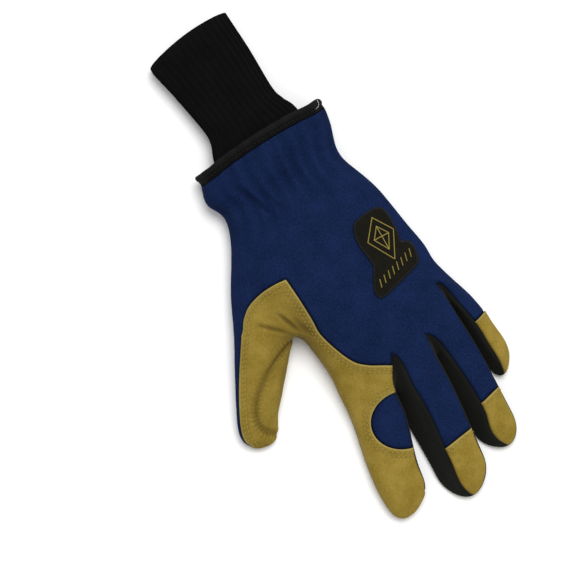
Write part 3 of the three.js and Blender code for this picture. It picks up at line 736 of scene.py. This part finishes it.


# How far each point of a panel is raised, and its painted marks: painted shade in hollows, creases and seams,
# a painted highlight along lapped edges, painted light on steep sides
def panelRelief(skin, seams, tag, kind, members, points, normals):
    found = {name: np.zeros(len(points)) for name in ("height", "hollow", "edge", "puckers", "uneven")}
    clear = np.ones(len(points))

    def addShape(shape, d):
        for name, parts in seamShapes[shape].items():
            for size, at, width in parts:
                found[name] += size * bell(d - at, width)

    for seam, (d, along) in seamDistances(skin, seams, tag, members).items():
        clear *= smoothStep((d - relief["clearFrom"]) / relief["clearRun"])
        addShape(seam, d)
        if seam == "over":
            found["height"] += relief["lapRise"] * (1 - smoothStep(d / relief["lapRun"]))
            for row in stitchedAt[tag]:
                addShape("row", d - row)
        if seam == "puckered":
            sway = puckers["sway"] * np.sin(along / puckers["swayRun"])
            wave = 0.5 + 0.5 * np.sin(2 * math.pi * along / puckers["pitch"] + sway)
            reach = bell(d, puckers["reach"]) * smoothStep(d)
            seen = smoothStep((normals[:, 2] - puckers["upFrom"]) / puckers["upRun"])
            found["puckers"] += puckers["depth"] * wave * reach * seen
    # Painted shade: darker where the face sinks, in the wrist's flutes, in the hollow by the thumb and in
    # creases
    sunk = (found["puckers"] - found["height"]) / relief["sunkAt"]
    found["hollow"] += relief["sunkTone"] * np.clip(sunk, 0, 1)
    fromTip = np.linalg.norm(points[:, None] - fingertips, axis=2).min(axis=1)
    found["height"] *= mix(relief["atTips"], 1, smoothStep((fromTip - relief["tipFrom"]) / relief["tipRun"]))
    for length, size in surface[kind]:
        found["uneven"] += size * np.array([noise.noise(Vector(p / length)) for p in points])
    found["height"] += found["uneven"] * clear - found["puckers"]
    if kind == "cloth":
        found["hollow"] += relief["gatherTone"] * skin["drawn"][members]
    if kind == "leather":
        fromSpot = np.linalg.norm(points[:, :2] - crotchShadeSpot["at"], axis=1)
        found["hollow"] += crotchShadeSpot["tone"] * bell(fromSpot, crotchShadeSpot["radius"])
    if kind != "strip":
        creased = creaseRelief(points, normals) * clear
        found["height"] += creased
        found["hollow"] += relief["creaseTone"] * np.clip(-creased, 0, 1)
    # Painted light: steep sides are marked for a lighter tone, against the shade that falls there
    found["side"] = relief["sideTone"] * (1 - normals[:, 2])
    return found["height"], {mark: np.clip(found[mark], 0, 1) for mark in ("hollow", "edge", "side")}


# A panel's wall, how it is thinned in tight folds, and the least height of its two faces over the table
walls = {"depth": 1.4, "rounds": 12, "thinner": 0.6, "through": -0.3, "outerLow": 0.3, "innerLow": 0.6}


# The wall's depth at each point: thinned, with the points round it, where its inner side would come out
def wallDepths(points, normals, faces, face):
    depths = np.full(len(points), walls["depth"])
    links = np.array(sidesOf(faces))
    suspects = np.ones(len(points), dtype=bool)
    for _ in range(walls["rounds"]):
        through = np.zeros(len(points), dtype=bool)
        for i in np.flatnonzero(suspects):
            inner = Vector(points[i] - normals[i] * depths[i])
            at, facing, _, _ = face.find_nearest(inner)
            through[i] = (inner - at).dot(facing) > walls["through"] * depths[i]
        if not through.any():
            break
        suspects = through.copy()
        suspects[links[through[links[:, 0]], 1]] = True
        suspects[links[through[links[:, 1]], 0]] = True
        depths[suspects] *= walls["thinner"]
    return depths


# A closed shell: an outer face, the same face set back, and last the edge between them, which it counts
def closeShell(outer, inner, faces):
    count = len(outer)
    sides = sidesOf(faces)
    known = set(sides)
    rim = [(a, b) for a, b in sides if (b, a) not in known]
    made = faces + [tuple(c + count for c in reversed(f)) for f in faces]
    made += [(b, a, a + count, b + count) for a, b in rim]
    return np.concatenate([outer, inner]), made, len(rim)


def inFrame(points):
    return ((points + tableShift) * mm).tolist()


def meshObject(name, points, faces, materials):
    mesh = bpy.data.meshes.new(name)
    mesh.from_pydata(inFrame(points), [], faces)
    for material in materials:
        mesh.materials.append(material)
    mesh.shade_smooth()
    return addObject(name, mesh)


def standFor(piece, node):
    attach(piece, "root")
    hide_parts(node)
    print(piece.name, len(piece.data.polygons), "faces")


# The points and faces of one panel on their own
def cutOut(skin, tag):
    faces = [f for f, t in zip(skin["faces"], skin["tags"]) if t == tag]
    members = sorted({c for f in faces for c in f})
    number = {c: i for i, c in enumerate(members)}
    return members, [tuple(number[c] for c in f) for f in faces]


# One panel of the skin with its relief and its wall. Gives back its raised face.
def makePanel(skin, seams, normals, tag, kind, slotName, materials):
    members, faces = cutOut(skin, tag)
    points, outward = skin["points"][members], normals[members]
    height, marks = panelRelief(skin, seams, tag, kind, members, points, outward)
    raised = points + outward * height[:, None]
    raised[:, 2] = np.maximum(raised[:, 2], walls["outerLow"])
    face = BVHTree.FromPolygons(raised.tolist(), faces)
    inner = raised - outward * wallDepths(raised, outward, faces, face)[:, None]
    inner[:, 2] = np.maximum(inner[:, 2], walls["innerLow"])
    solid, made, rims = closeShell(raised, inner, faces)
    piece = meshObject("sewn_" + tag, solid, made, materials)
    edgeMaterial = [0] * (len(made) - rims) + [len(materials) - 1] * rims
    piece.data.polygons.foreach_set("material_index", edgeMaterial)
    for mark, share in marks.items():
        addLayer(piece.data, mark, np.tile(share, 2))
    standFor(piece, tag)
    return face


noiseSpan = (0.36, 0.64)  # where most of a noise texture's values lie


# The colour of a dyed material: two tones in soft patches with a fine speckle over them, and other tones
# where attributes mark painted shade in creases, seams, flutes and sunk places, a painted highlight along
# lapped edges and painted light on steep sides
def mottled(tree, place, look):
    patches = addNode(tree, "ShaderNodeTexNoise", {"Vector": place, "Scale": 1 / (look["patch"] * mm)})
    specks = addNode(tree, "ShaderNodeTexNoise", {
        "Vector": place, "Scale": 1 / (look["speck"] * mm), "Detail": 1.0})
    grain = look.get("grain", 1.0)
    both = addNode(tree, "ShaderNodeMath", {0: specks.outputs["Fac"], 1: grain, 2: patches.outputs["Fac"]},
                   operation="MULTIPLY_ADD")
    low, high = (share * (1 + grain) for share in noiseSpan)
    spread = addNode(tree, "ShaderNodeMapRange", {
        "Value": both.outputs[0], "From Min": low, "From Max": high})
    tones = [(spread.outputs[0], look["light"])]
    for mark, tone in look.get("marks", {}).items():
        tones.append((addNode(tree, "ShaderNodeAttribute", attribute_name=mark).outputs["Fac"], tone))
    colour = toLinear(look["dark"])
    for share, tone in tones:
        mixed = addNode(tree, "ShaderNodeMix", {0: share, 6: colour, 7: toLinear(tone)}, data_type="RGBA")
        colour = mixed.outputs[2]
    return colour


# Bumps laid over each other: each is a pattern, its size and its depth in mm
def bumped(tree, place, bumps):
    inputs = {"Strength": 1.0}
    for kind, size, depth in bumps:
        pattern = addNode(tree, kind, {"Vector": place, "Scale": 1 / (size * mm)})
        inputs.update({"Height": pattern.outputs[0], "Distance": depth * mm})
        inputs["Normal"] = addNode(tree, "ShaderNodeBump", inputs).outputs["Normal"]
    return inputs["Normal"]


def dyedMaterial(name, look):
    material = newMaterial(name, {
        "Roughness": look["roughness"], "Specular IOR Level": look["specular"],
        "Sheen Weight": look.get("sheen", 0.0), "Sheen Roughness": 0.6,
        "Sheen Tint": toLinear(look.get("fuzz", "#ffffff"))})
    tree = material.node_tree
    shader = tree.nodes["Principled BSDF"]
    place = addNode(tree, "ShaderNodeTexCoord").outputs["Object"]
    tree.links.new(mottled(tree, place, look), shader.inputs["Base Color"])
    tree.links.new(bumped(tree, place, look["bumps"]), shader.inputs["Normal"])
    return material


# A close knit of dyed elastic yarn with a brushed face: matt, deep blue, paler where it turns away. Its loops
# are about 0.3 mm and are drawn half as coarse again, so that they show.
# Its darker mark is painted shade in flutes, creases and sunk places and beside lapped edges
blueCloth = dyedMaterial("brushed stretch knit", {
    "dark": "#0e1a36", "light": "#17264c", "patch": 16.0, "speck": 0.9, "grain": 2.0,
    "marks": {"hollow": "#050a18"},
    "bumps": [("ShaderNodeTexNoise", 0.9, 0.10), ("ShaderNodeTexVoronoi", 0.45, 0.05)],
    "roughness": 0.92, "specular": 0.03, "sheen": 0.015, "fuzz": "#5f7cc4",
})
# The same yarn in black between the fingers and under the wrist: even and dull, with light painted on its
# steep sides to lift the shade in the gaps
blackCloth = dyedMaterial("black stretch knit", {
    "dark": "#0e0f0c", "light": "#151613", "patch": 12.0, "speck": 0.9,
    "marks": {"side": "#272824"},
    "bumps": [("ShaderNodeTexNoise", 0.9, 0.12), ("ShaderNodeTexVoronoi", 0.5, 0.06)],
    "roughness": 0.95, "specular": 0.05, "sheen": 0.01,
})
# Drum-dyed goatskin with its own grain: small soft pebbles, a dull gleam, cloudy gold. Its darker mark is
# painted shade, its paler mark a painted highlight along lapped edges
leather = dyedMaterial("drum-dyed goatskin", {
    "dark": "#7e6920", "light": "#957f36", "patch": 11.0, "speck": 0.9,
    "marks": {"hollow": "#5d4c1c", "edge": "#b3a468"},
    "bumps": [("ShaderNodeTexVoronoi", 0.9, 0.08), ("ShaderNodeTexNoise", 2.6, 0.14)],
    "roughness": 0.7, "specular": 0.12,
})
# The knife-cut edge of the same hide: undyed fibres, duller and paler
cutLeather = dyedMaterial("cut hide edge", {
    "dark": "#6f5f30", "light": "#8c7a46", "patch": 2.0, "speck": 0.4,
    "bumps": [("ShaderNodeTexNoise", 0.4, 0.12)],
    "roughness": 0.95, "specular": 0.05,
})
# Spun black yarn of the rib knit, with a little fuzz
ribYarn = dyedMaterial("spun rib yarn", {
    "dark": "#070807", "light": "#0c0d0c", "patch": 14.0, "speck": 0.8,
    "bumps": [("ShaderNodeTexVoronoi", 1.1, 0.20), ("ShaderNodeTexNoise", 0.4, 0.08)],
    "roughness": 0.95, "specular": 0.05, "sheen": 0.01,
})
# Woven binding tape, folded over the edge: smoother than the knit, so that its roll catches some light
# Its darker mark is painted shade in the groove where it is stitched down
tape = dyedMaterial("woven binding tape", {
    "dark": "#0a0b0a", "light": "#101110", "patch": 9.0, "speck": 0.6,
    "marks": {"hollow": "#020202"},
    "bumps": [("ShaderNodeTexVoronoi", 0.6, 0.08)],
    "roughness": 0.8, "specular": 0.12,
})
# Dense brown-black twill of the label
labelCloth = dyedMaterial("label twill", {
    "dark": "#0f0e09", "light": "#16140d", "patch": 5.0, "speck": 0.6,
    "bumps": [("ShaderNodeTexNoise", 0.5, 0.12)],
    "roughness": 0.9, "specular": 0.1,
})


# Twisted thread: one colour and the gleam of its twist
def threadMaterial(name, colour, roughness):
    return newMaterial(name, {
        "Base Color": toLinear(colour), "Roughness": roughness, "Specular IOR Level": 0.2})


goldThread = threadMaterial("tonal sewing thread", "#9e8b46", 0.6)
darkThread = threadMaterial("black sewing thread", "#121412", 0.7)
satinThread = threadMaterial("rayon embroidery thread", "#8f7f38", 0.45)
whiteThread = threadMaterial("white tacking thread", "#c9c9c4", 0.6)


def newGeometryTree(name, numbers):
    tree = bpy.data.node_groups.new(name, "GeometryNodeTree")
    tree.interface.new_socket("Geometry", in_out="INPUT", socket_type="NodeSocketGeometry")
    for label in numbers:
        tree.interface.new_socket(label, in_out="INPUT", socket_type="NodeSocketFloat")
    tree.interface.new_socket("Geometry", in_out="OUTPUT", socket_type="NodeSocketGeometry")
    return tree, addNode(tree, "NodeGroupInput").outputs


# Every tree ends in real geometry with its material
def endTree(tree, geometry, material):
    real = addNode(tree, "GeometryNodeRealizeInstances", {"Geometry": geometry})
    dyed = addNode(tree, "GeometryNodeSetMaterial", {"Geometry": real.outputs[0], "Material": material})
    addNode(tree, "NodeGroupOutput", {"Geometry": dyed.outputs[0]})
    return tree


# Even stitches along lines: each a small bead of thread, laid along its line and square to the face under it
def stitchTree(name, material):
    tree, given = newGeometryTree(name, ["pitch", "along", "across", "high"])
    line = addNode(tree, "GeometryNodeMeshToCurve", {"Mesh": given["Geometry"]})
    spaced = addNode(tree, "GeometryNodeResampleCurve", {"Curve": line.outputs[0], "Length": given["pitch"]},
                     mode="LENGTH")
    tangent = addNode(tree, "GeometryNodeInputTangent")
    up = addNode(tree, "GeometryNodeInputNamedAttribute", {"Name": "up"}, data_type="FLOAT_VECTOR")
    laid = addNode(tree, "FunctionNodeAlignRotationToVector", {"Vector": tangent.outputs[0]}, axis="X")
    square = addNode(tree, "FunctionNodeAlignRotationToVector", {
        "Rotation": laid.outputs[0], "Vector": up.outputs["Attribute"]}, axis="Z", pivot_axis="X")
    size = addNode(tree, "ShaderNodeCombineXYZ", {
        "X": given["along"], "Y": given["across"], "Z": given["high"]})
    bead = addNode(tree, "GeometryNodeMeshUVSphere", {"Segments": 8, "Rings": 5, "Radius": 0.5})
    beads = addNode(tree, "GeometryNodeInstanceOnPoints", {
        "Points": spaced.outputs[0], "Instance": bead.outputs["Mesh"], "Rotation": square.outputs[0],
        "Scale": size.outputs[0]})
    return endTree(tree, beads.outputs[0], material)


# The grooves between the ribs of a knit: each point goes in by its own share of the depth
def ribTree(material):
    tree, given = newGeometryTree("knit ribs", ["depth"])
    rib, share = (addNode(tree, "GeometryNodeInputNamedAttribute", {"Name": name}, data_type="FLOAT")
                  for name in ("rib", "share"))
    turns = addNode(tree, "ShaderNodeMath", {0: rib.outputs["Attribute"], 1: 2 * math.pi},
                    operation="MULTIPLY")
    wave = addNode(tree, "ShaderNodeMath", {0: turns.outputs[0]}, operation="COSINE")
    groove = addNode(tree, "ShaderNodeMath", {0: wave.outputs[0], 1: 0.5, 2: -0.5}, operation="MULTIPLY_ADD")
    depth = addNode(tree, "ShaderNodeMath", {0: given["depth"], 1: share.outputs["Attribute"]},
                    operation="MULTIPLY")
    inward = addNode(tree, "ShaderNodeMath", {0: groove.outputs[0], 1: depth.outputs[0]},
                     operation="MULTIPLY")
    normal = addNode(tree, "GeometryNodeInputNormal")
    offset = addNode(tree, "ShaderNodeVectorMath", {0: normal.outputs[0], "Scale": inward.outputs[0]},
                     operation="SCALE")
    moved = addNode(tree, "GeometryNodeSetPosition", {
        "Geometry": given["Geometry"], "Offset": offset.outputs[0]})
    return endTree(tree, moved.outputs[0], material)


# Runs a node tree over an object with its numbers set in mm, and keeps the result as a plain mesh
def growMesh(made, tree, numbers):
    modifier = made.modifiers.new("grow", "NODES")
    modifier.node_group = tree
    for item in tree.interface.items_tree:
        if item.in_out == "INPUT" and item.name in numbers:
            modifier[item.identifier] = numbers[item.name] * mm
    grown = plainMesh(made)
    made.modifiers.clear()
    made.data = grown
    grown.shade_smooth()


# A piece of stitches along lines, each line given as its points and the directions away from the cloth
def stitchPiece(name, lines, stitch):
    points, ups = (np.concatenate(column) for column in zip(*lines))
    breaks = np.cumsum([len(line) for line, up in lines])
    mesh = bpy.data.meshes.new(name)
    mesh.from_pydata(inFrame(points), [(i - 1, i) for i in range(1, len(points)) if i not in breaks], [])
    addLayer(mesh, "up", ups, "FLOAT_VECTOR")
    made = addObject(name, mesh)
    growMesh(made, stitchTree(name, stitch["thread"]), stitch)
    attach(made, "root")
    print(name, len(lines), "lines,", len(made.data.polygons), "faces")


# Where points fall on a face, lifted off it a little, and the directions away from it
def liftedOff(hits, lift):
    at, ups = (np.array([hit[k] for hit in hits if hit[0]]) for k in (0, 1))
    return at + ups * lift, ups


# Straight lines over a face, seen from above and laid onto it in steps of about one mm
def layLine(face, corners, lift, fromHeight=80):
    line = []
    for a, b in zip(corners[:-1], corners[1:]):
        count = max(2, int(math.dist(a, b)))
        line += [(mix(a[0], b[0], i / count), mix(a[1], b[1], i / count)) for i in range(count)]
    line.append(corners[-1])
    return liftedOff([face.ray_cast(Vector((x, y, fromHeight)), Vector((0, 0, -1))) for x, y in line], lift)


def unitRows(rows):
    return rows / np.linalg.norm(rows, axis=1)[:, None]


# Evens out a line between its ends
def relaxed(line, rounds, hold):
    for _ in range(rounds):
        line[1:-1] = (line[:-2] + hold * line[1:-1] + line[2:]) / (hold + 2)
    return line


# The rows of stitches beside the lapped edges. A row stops short of its seam's ends and skips points that
# come too near the edge or each other, and very short seams and rows have none.
topstitch = {
    "thread": goldThread, "pitch": 3.1, "along": 2.3, "across": 0.55, "high": 0.45, "lift": 0.1,
    "fromEnds": 1.6, "leastAway": 0.93, "apart": 0.4, "leastChain": 13, "leastRow": 4,
}


# The line at one distance inside a lapped edge, on the raised face of the panel
def rowInside(skin, tag, chain, away, face):
    points = skin["points"]
    inner = {}
    for corners, owner in zip(skin["faces"], skin["tags"]):
        if owner == tag:
            middle = points[list(corners)].mean(axis=0)
            for c in corners:
                inner.setdefault(c, []).append(middle)
    chain = [c for c in chain if c in inner]
    edge = points[chain]
    tangents = unitRows(np.gradient(edge, axis=0))
    towards = np.array([np.mean(inner[c], axis=0) for c in chain]) - edge
    towards -= tangents * (towards * tangents).sum(axis=1)[:, None]
    towards = unitRows(relaxed(unitRows(towards), rounds=3, hold=1))
    runs = runsAlong(edge)
    end = topstitch["fromEnds"]
    found = (edge + towards * away)[(runs > end) & (runs < runs[-1] - end)]
    gaps = np.array([np.linalg.norm(edge - q, axis=1).min() for q in found])
    found = found[gaps > topstitch["leastAway"] * away]
    steps = np.linalg.norm(np.diff(found, axis=0), axis=1)
    found = np.concatenate([found[:1], found[1:][steps > topstitch["apart"]]])
    found = relaxed(found, rounds=4, hold=2)
    return liftedOff([face.find_nearest(Vector(q)) for q in found], topstitch["lift"])


print("glove skin")
noise.seed_set(7)
skin = smoothedSkin()
gatherWrist(skin)
skinNormals = vertexNormals(skin["points"], skin["faces"])
wholeSkin = {"points": skin["points"].copy(), "faces": list(skin["faces"]), "tags": list(skin["tags"])}
pinCorner(skin, saddlePoint)
corner = saddleEdge.index(saddlePoint)
saddleLine = np.concatenate([smoothLine(saddleEdge[:corner + 1])[:-1], smoothLine(saddleEdge[corner:])])
cutByOutline(skin, "upper", np.concatenate([saddleLine, saddleOutside]), "saddle", "back_panel")
cutByOutline(skin, "saddle", ovalOutline(windowOval), "index_window", "saddle")
cutByOutline(skin, "saddle", np.concatenate([smoothLine(thumbSeam), thumbGap]), "thumb_front", "saddle")
seams = findSeams(skin)
print(len(seams), "pairs of sewn panels")

cutHide = [leather, cutLeather]
panelLooks = {
    "back_panel": ("cloth", "back_cloth", [blueCloth]),
    "index_window": ("cloth", "window_cloth", [blueCloth]),
    "saddle": ("leather", "saddle_leather", cutHide),
    "thumb_front": ("leather", "thumb_leather", [leather]),
    "palm": ("leather", "palm_leather", [leather]),
    "cap_middle": ("leather", "cap_leather", cutHide),
    "cap_ring": ("leather", "cap_leather", cutHide),
    "cap_little": ("leather", "cap_leather", cutHide),
    **{strip: ("strip", "strip_cloth", [blackCloth]) for strip in strips},
    "wrist_panel": ("cloth", "wrist_cloth", [blackCloth]),
}
panelFaces = {tag: makePanel(skin, seams, skinNormals, tag, *look) for tag, look in panelLooks.items()}

rows = []
for tag, under in sorted(laps):
    for chain in seams.get(tuple(sorted((tag, under))), []):
        if len(chain) >= topstitch["leastChain"]:
            rows += [rowInside(skin, tag, chain, away, panelFaces[tag]) for away in stitchedAt[tag]]
stitchPiece("topstitching", [row for row in rows if len(row[0]) >= topstitch["leastRow"]], topstitch)


def ringFaces(rings, around):
    faces = []
    for r in range(rings):
        near, far = r * around, (r + 1) % rings * around
        for j in range(around):
            after = (j + 1) % around
            faces.append((near + j, far + j, far + after, near + after))
    return faces


# The knit wrist: a flattened tube with a rounded free end, which rises off the table where it is sewn in
knit = {
    "ribs": 40, "ribDepth": 0.9, "wall": 2.4, "squash": 2.6, "around": 480, "steps": 14, "lipSteps": 9,
    "low": 0.1, "lift": 4, "liftFrom": 116, "liftRun": 14, "endShare": 0.35, "endRun": 6,
}
# Its sections: y, how far that leans and bows, centre, half width and top
knitSections = [
    (177.4, 2, 3.6, 3.8, 30.8, 19), (171, 2, 3, 3.8, 30.8, 20.5), (150, 0, 0, 5.5, 29.2, 20),
    (122, 0, 0, 6.8, 26.8, 21.5), (112, 0, 0, 7.5, 28.1, 23), (102, 0, 0, 7.3, 32.1, 24),
    (80, 0, 0, 4.5, 36.6, 25), (66, 0, 0, 3, 36, 22.4),
]


def knitRing(section, inset, back):
    y, lean, bow, centre, half, top = section
    low = knit["low"] + knit["lift"] * smoothStep((knit["liftFrom"] - y) / knit["liftRun"])
    angles = np.linspace(0, 2 * math.pi, knit["around"], endpoint=False)
    c, s, power = np.cos(angles), np.sin(angles), knit["squash"]
    r = (np.abs(c) ** power + np.abs(s) ** power) ** (-1 / power)
    return np.column_stack([centre + (half - inset) * r * c, y - back + lean * c + bow * s * s,
                            (top + low) / 2 + ((top - low) / 2 - inset) * r * s])


def buildKnit():
    sections = smoothLine(knitSections, knit["steps"])
    wall, around = knit["wall"], knit["around"]
    outer = sections[:0:-1]
    rings = [knitRing(section, 0, 0) for section in outer]
    fromEnd = sections[0][0] - outer[:, 0]
    shares = list(mix(knit["endShare"], 1, smoothStep(fromEnd / knit["endRun"])))
    for t in np.linspace(0, math.pi, knit["lipSteps"]):
        inset = wall / 2 * (1 - math.cos(t))
        rings.append(knitRing(sections[0], inset, wall / 2 * (1 - math.sin(t))))
        shares.append(max(0.0, knit["endShare"] - inset / wall))
    rings += [knitRing(section, wall, 0) for section in sections[1:]]
    shares += [0.0] * (len(rings) - len(shares))
    made = meshObject("rib_knit_tube", np.concatenate(rings), ringFaces(len(rings), around), [ribYarn])
    addLayer(made.data, "rib", np.tile(np.arange(around) * knit["ribs"] / around, len(rings)))
    addLayer(made.data, "share", np.repeat(shares, around))
    growMesh(made, ribTree(ribYarn), {"depth": knit["ribDepth"]})
    standFor(made, "knit_wrist")


buildKnit()

# The tape over the cuff's edge. Its section says how far past the edge, how far out from the cloth and how
# much shade is painted on it: a sunk part where it is stitched down, painted dark, then the roll.
bindingTape = {"gap": 0.4, "stitchAt": 2.4, "stitchIn": 0.3, "insideFrom": -1, "section": [
    (0, -0.3, 1), (0.5, 0.0, 1), (1.4, -0.3, 1), (2.4, -0.45, 1), (3.3, -0.2, 0.6), (4.1, 0.45, 0),
    (5.0, 0.75, 0), (6.1, 0.7, 0), (7.0, 0.3, 0), (7.6, -0.4, 0), (7.7, -1.2, 0), (7.4, -2.1, 0),
    (6.2, -2.6, 0), (3.0, -2.7, 0), (0.6, -2.6, 0), (0, -2.2, 0), (0, -1.2, 0.5),
]}


def buildBinding():
    rim = [edge for edge, owners in edgeFaces(wholeSkin["faces"]).items() if len(owners) == 1]
    loop = chainsOf(rim)[0][:0:-1]
    edge, outward = wholeSkin["points"][loop], skinNormals[loop]
    rings = []
    for past, proud, dark in bindingTape["section"]:
        ring = edge + outward * proud
        ring[:, 1] += bindingTape["gap"] + past
        ring[:, 2] = np.maximum(ring[:, 2], 0 if proud > bindingTape["insideFrom"] else walls["depth"])
        rings.append(ring)
    points, faces = np.concatenate(rings), ringFaces(len(rings), len(loop))
    made = meshObject("folded_binding", points, faces, [tape])
    # Painted shade along the stitched-down groove
    grooveShade = [dark for past, proud, dark in bindingTape["section"]]
    addLayer(made.data, "hollow", np.repeat(grooveShade, len(loop)))
    standFor(made, "cuff_binding")
    row = edge + [0, bindingTape["gap"] + bindingTape["stitchAt"], 0] - outward * bindingTape["stitchIn"]
    closed = [*range(len(loop)), 0]
    return BVHTree.FromPolygons(points.tolist(), faces), (row[closed], outward[closed])


# Thread on the binding: the black row that holds it down, and a white tack at the little finger's side
lockstitch = {"thread": darkThread, "pitch": 3.0, "along": 2.3, "across": 0.6, "high": 0.5}
tack = {"thread": whiteThread, "pitch": 1.2, "along": 1.5, "across": 0.4, "high": 0.35, "lift": 0.15,
        "line": [(53.4, 97.3), (52.9, 95.2), (51.6, 93.9), (49.2, 93.2)]}
bindingFace, bindingRow = buildBinding()
stitchPiece("binding_stitches", [bindingRow], lockstitch)
stitchPiece("white_tack", [layLine(bindingFace, tack["line"], tack["lift"])], tack)

# The label: an embroidered patch with a whipped edge. Its pattern is a plain one of diamonds and short bars.
label = {"lift": 0.35, "thick": 1.1, "round": 1.3, "rimShare": 0.45, "edgeIn": 0.7, "reach": 4, "edge": [
    (32.5, 18), (45.5, 18.6), (50, 16), (51.7, 10), (50.8, -2), (49.3, -9.5), (53.5, -12), (54.4, -19),
    (51.5, -26.5), (46, -29), (21, -33.8), (16.5, -31.5), (16.8, -26.5), (22.3, -17.5), (24.8, -12),
    (24.4, 5), (27.5, 14.5),
]}
labelPattern = [
    [(41.5, 13.8), (49.3, 0), (39.3, -17), (30.2, 1.5), (41.5, 13.8)],
    [(40.8, 7.5), (45.3, -0.3), (39.7, -9.6), (34.6, 0.6), (40.8, 7.5)],
    [(40.8, 7.5), (39.7, -9.6)],
    [(34.6, 0.6), (45.3, -0.3)],
] + [[(22.0 + 3.9 * i, -27.6 + 0.9 * i), (23.6 + 3.9 * i, -22.7 + 0.9 * i)] for i in range(8)]
whipstitch = {"thread": darkThread, "pitch": 0.8, "along": 0.85, "across": 2.2, "high": 0.7}
satinStitch = {"thread": satinThread, "pitch": 0.45, "along": 0.5, "across": 0.85, "high": 0.4, "lift": 0.05}


# The patch lies on the cloth under it. Gives back its raised face and the line of its whipped edge.
def buildLabel():
    outline = smoothLine(label["edge"], steps=4, closed=True)
    cutByOutline(wholeSkin, "upper", outline, "label", "back_panel")
    members, faces = cutOut(wholeSkin, "label")
    points, outward = wholeSkin["points"][members], skinNormals[members]
    reach = label["reach"]
    for i, (p, n) in enumerate(zip(points, outward)):
        hit = panelFaces["back_panel"].ray_cast(Vector(p + n * reach), Vector(-n), 2 * reach)[0]
        points[i] = hit if hit else p
    depth = np.clip(insideBy(outline, points[:, :2]) / label["round"], 0, 1)
    top = label["lift"] + label["thick"] * mix(label["rimShare"], 1, np.sqrt(1 - (1 - depth) ** 2))
    raised = points + outward * top[:, None]
    solid, made, _ = closeShell(raised, points + outward * label["lift"], faces)
    standFor(meshObject("embroidered_label", solid, made, [labelCloth]), "label_patch")
    middle = outline.mean(axis=0)
    spokes = outline - middle
    edge = middle + spokes * (1 - label["edgeIn"] / np.linalg.norm(spokes, axis=1))[:, None]
    return BVHTree.FromPolygons(raised.tolist(), faces), [*edge, edge[0]]


labelFace, whippedEdge = buildLabel()
satinLines = [layLine(labelFace, line, satinStitch["lift"]) for line in labelPattern]
stitchPiece("whipped_edge", [layLine(labelFace, whippedEdge, 0)], whipstitch)
stitchPiece("satin_pattern", satinLines, satinStitch)
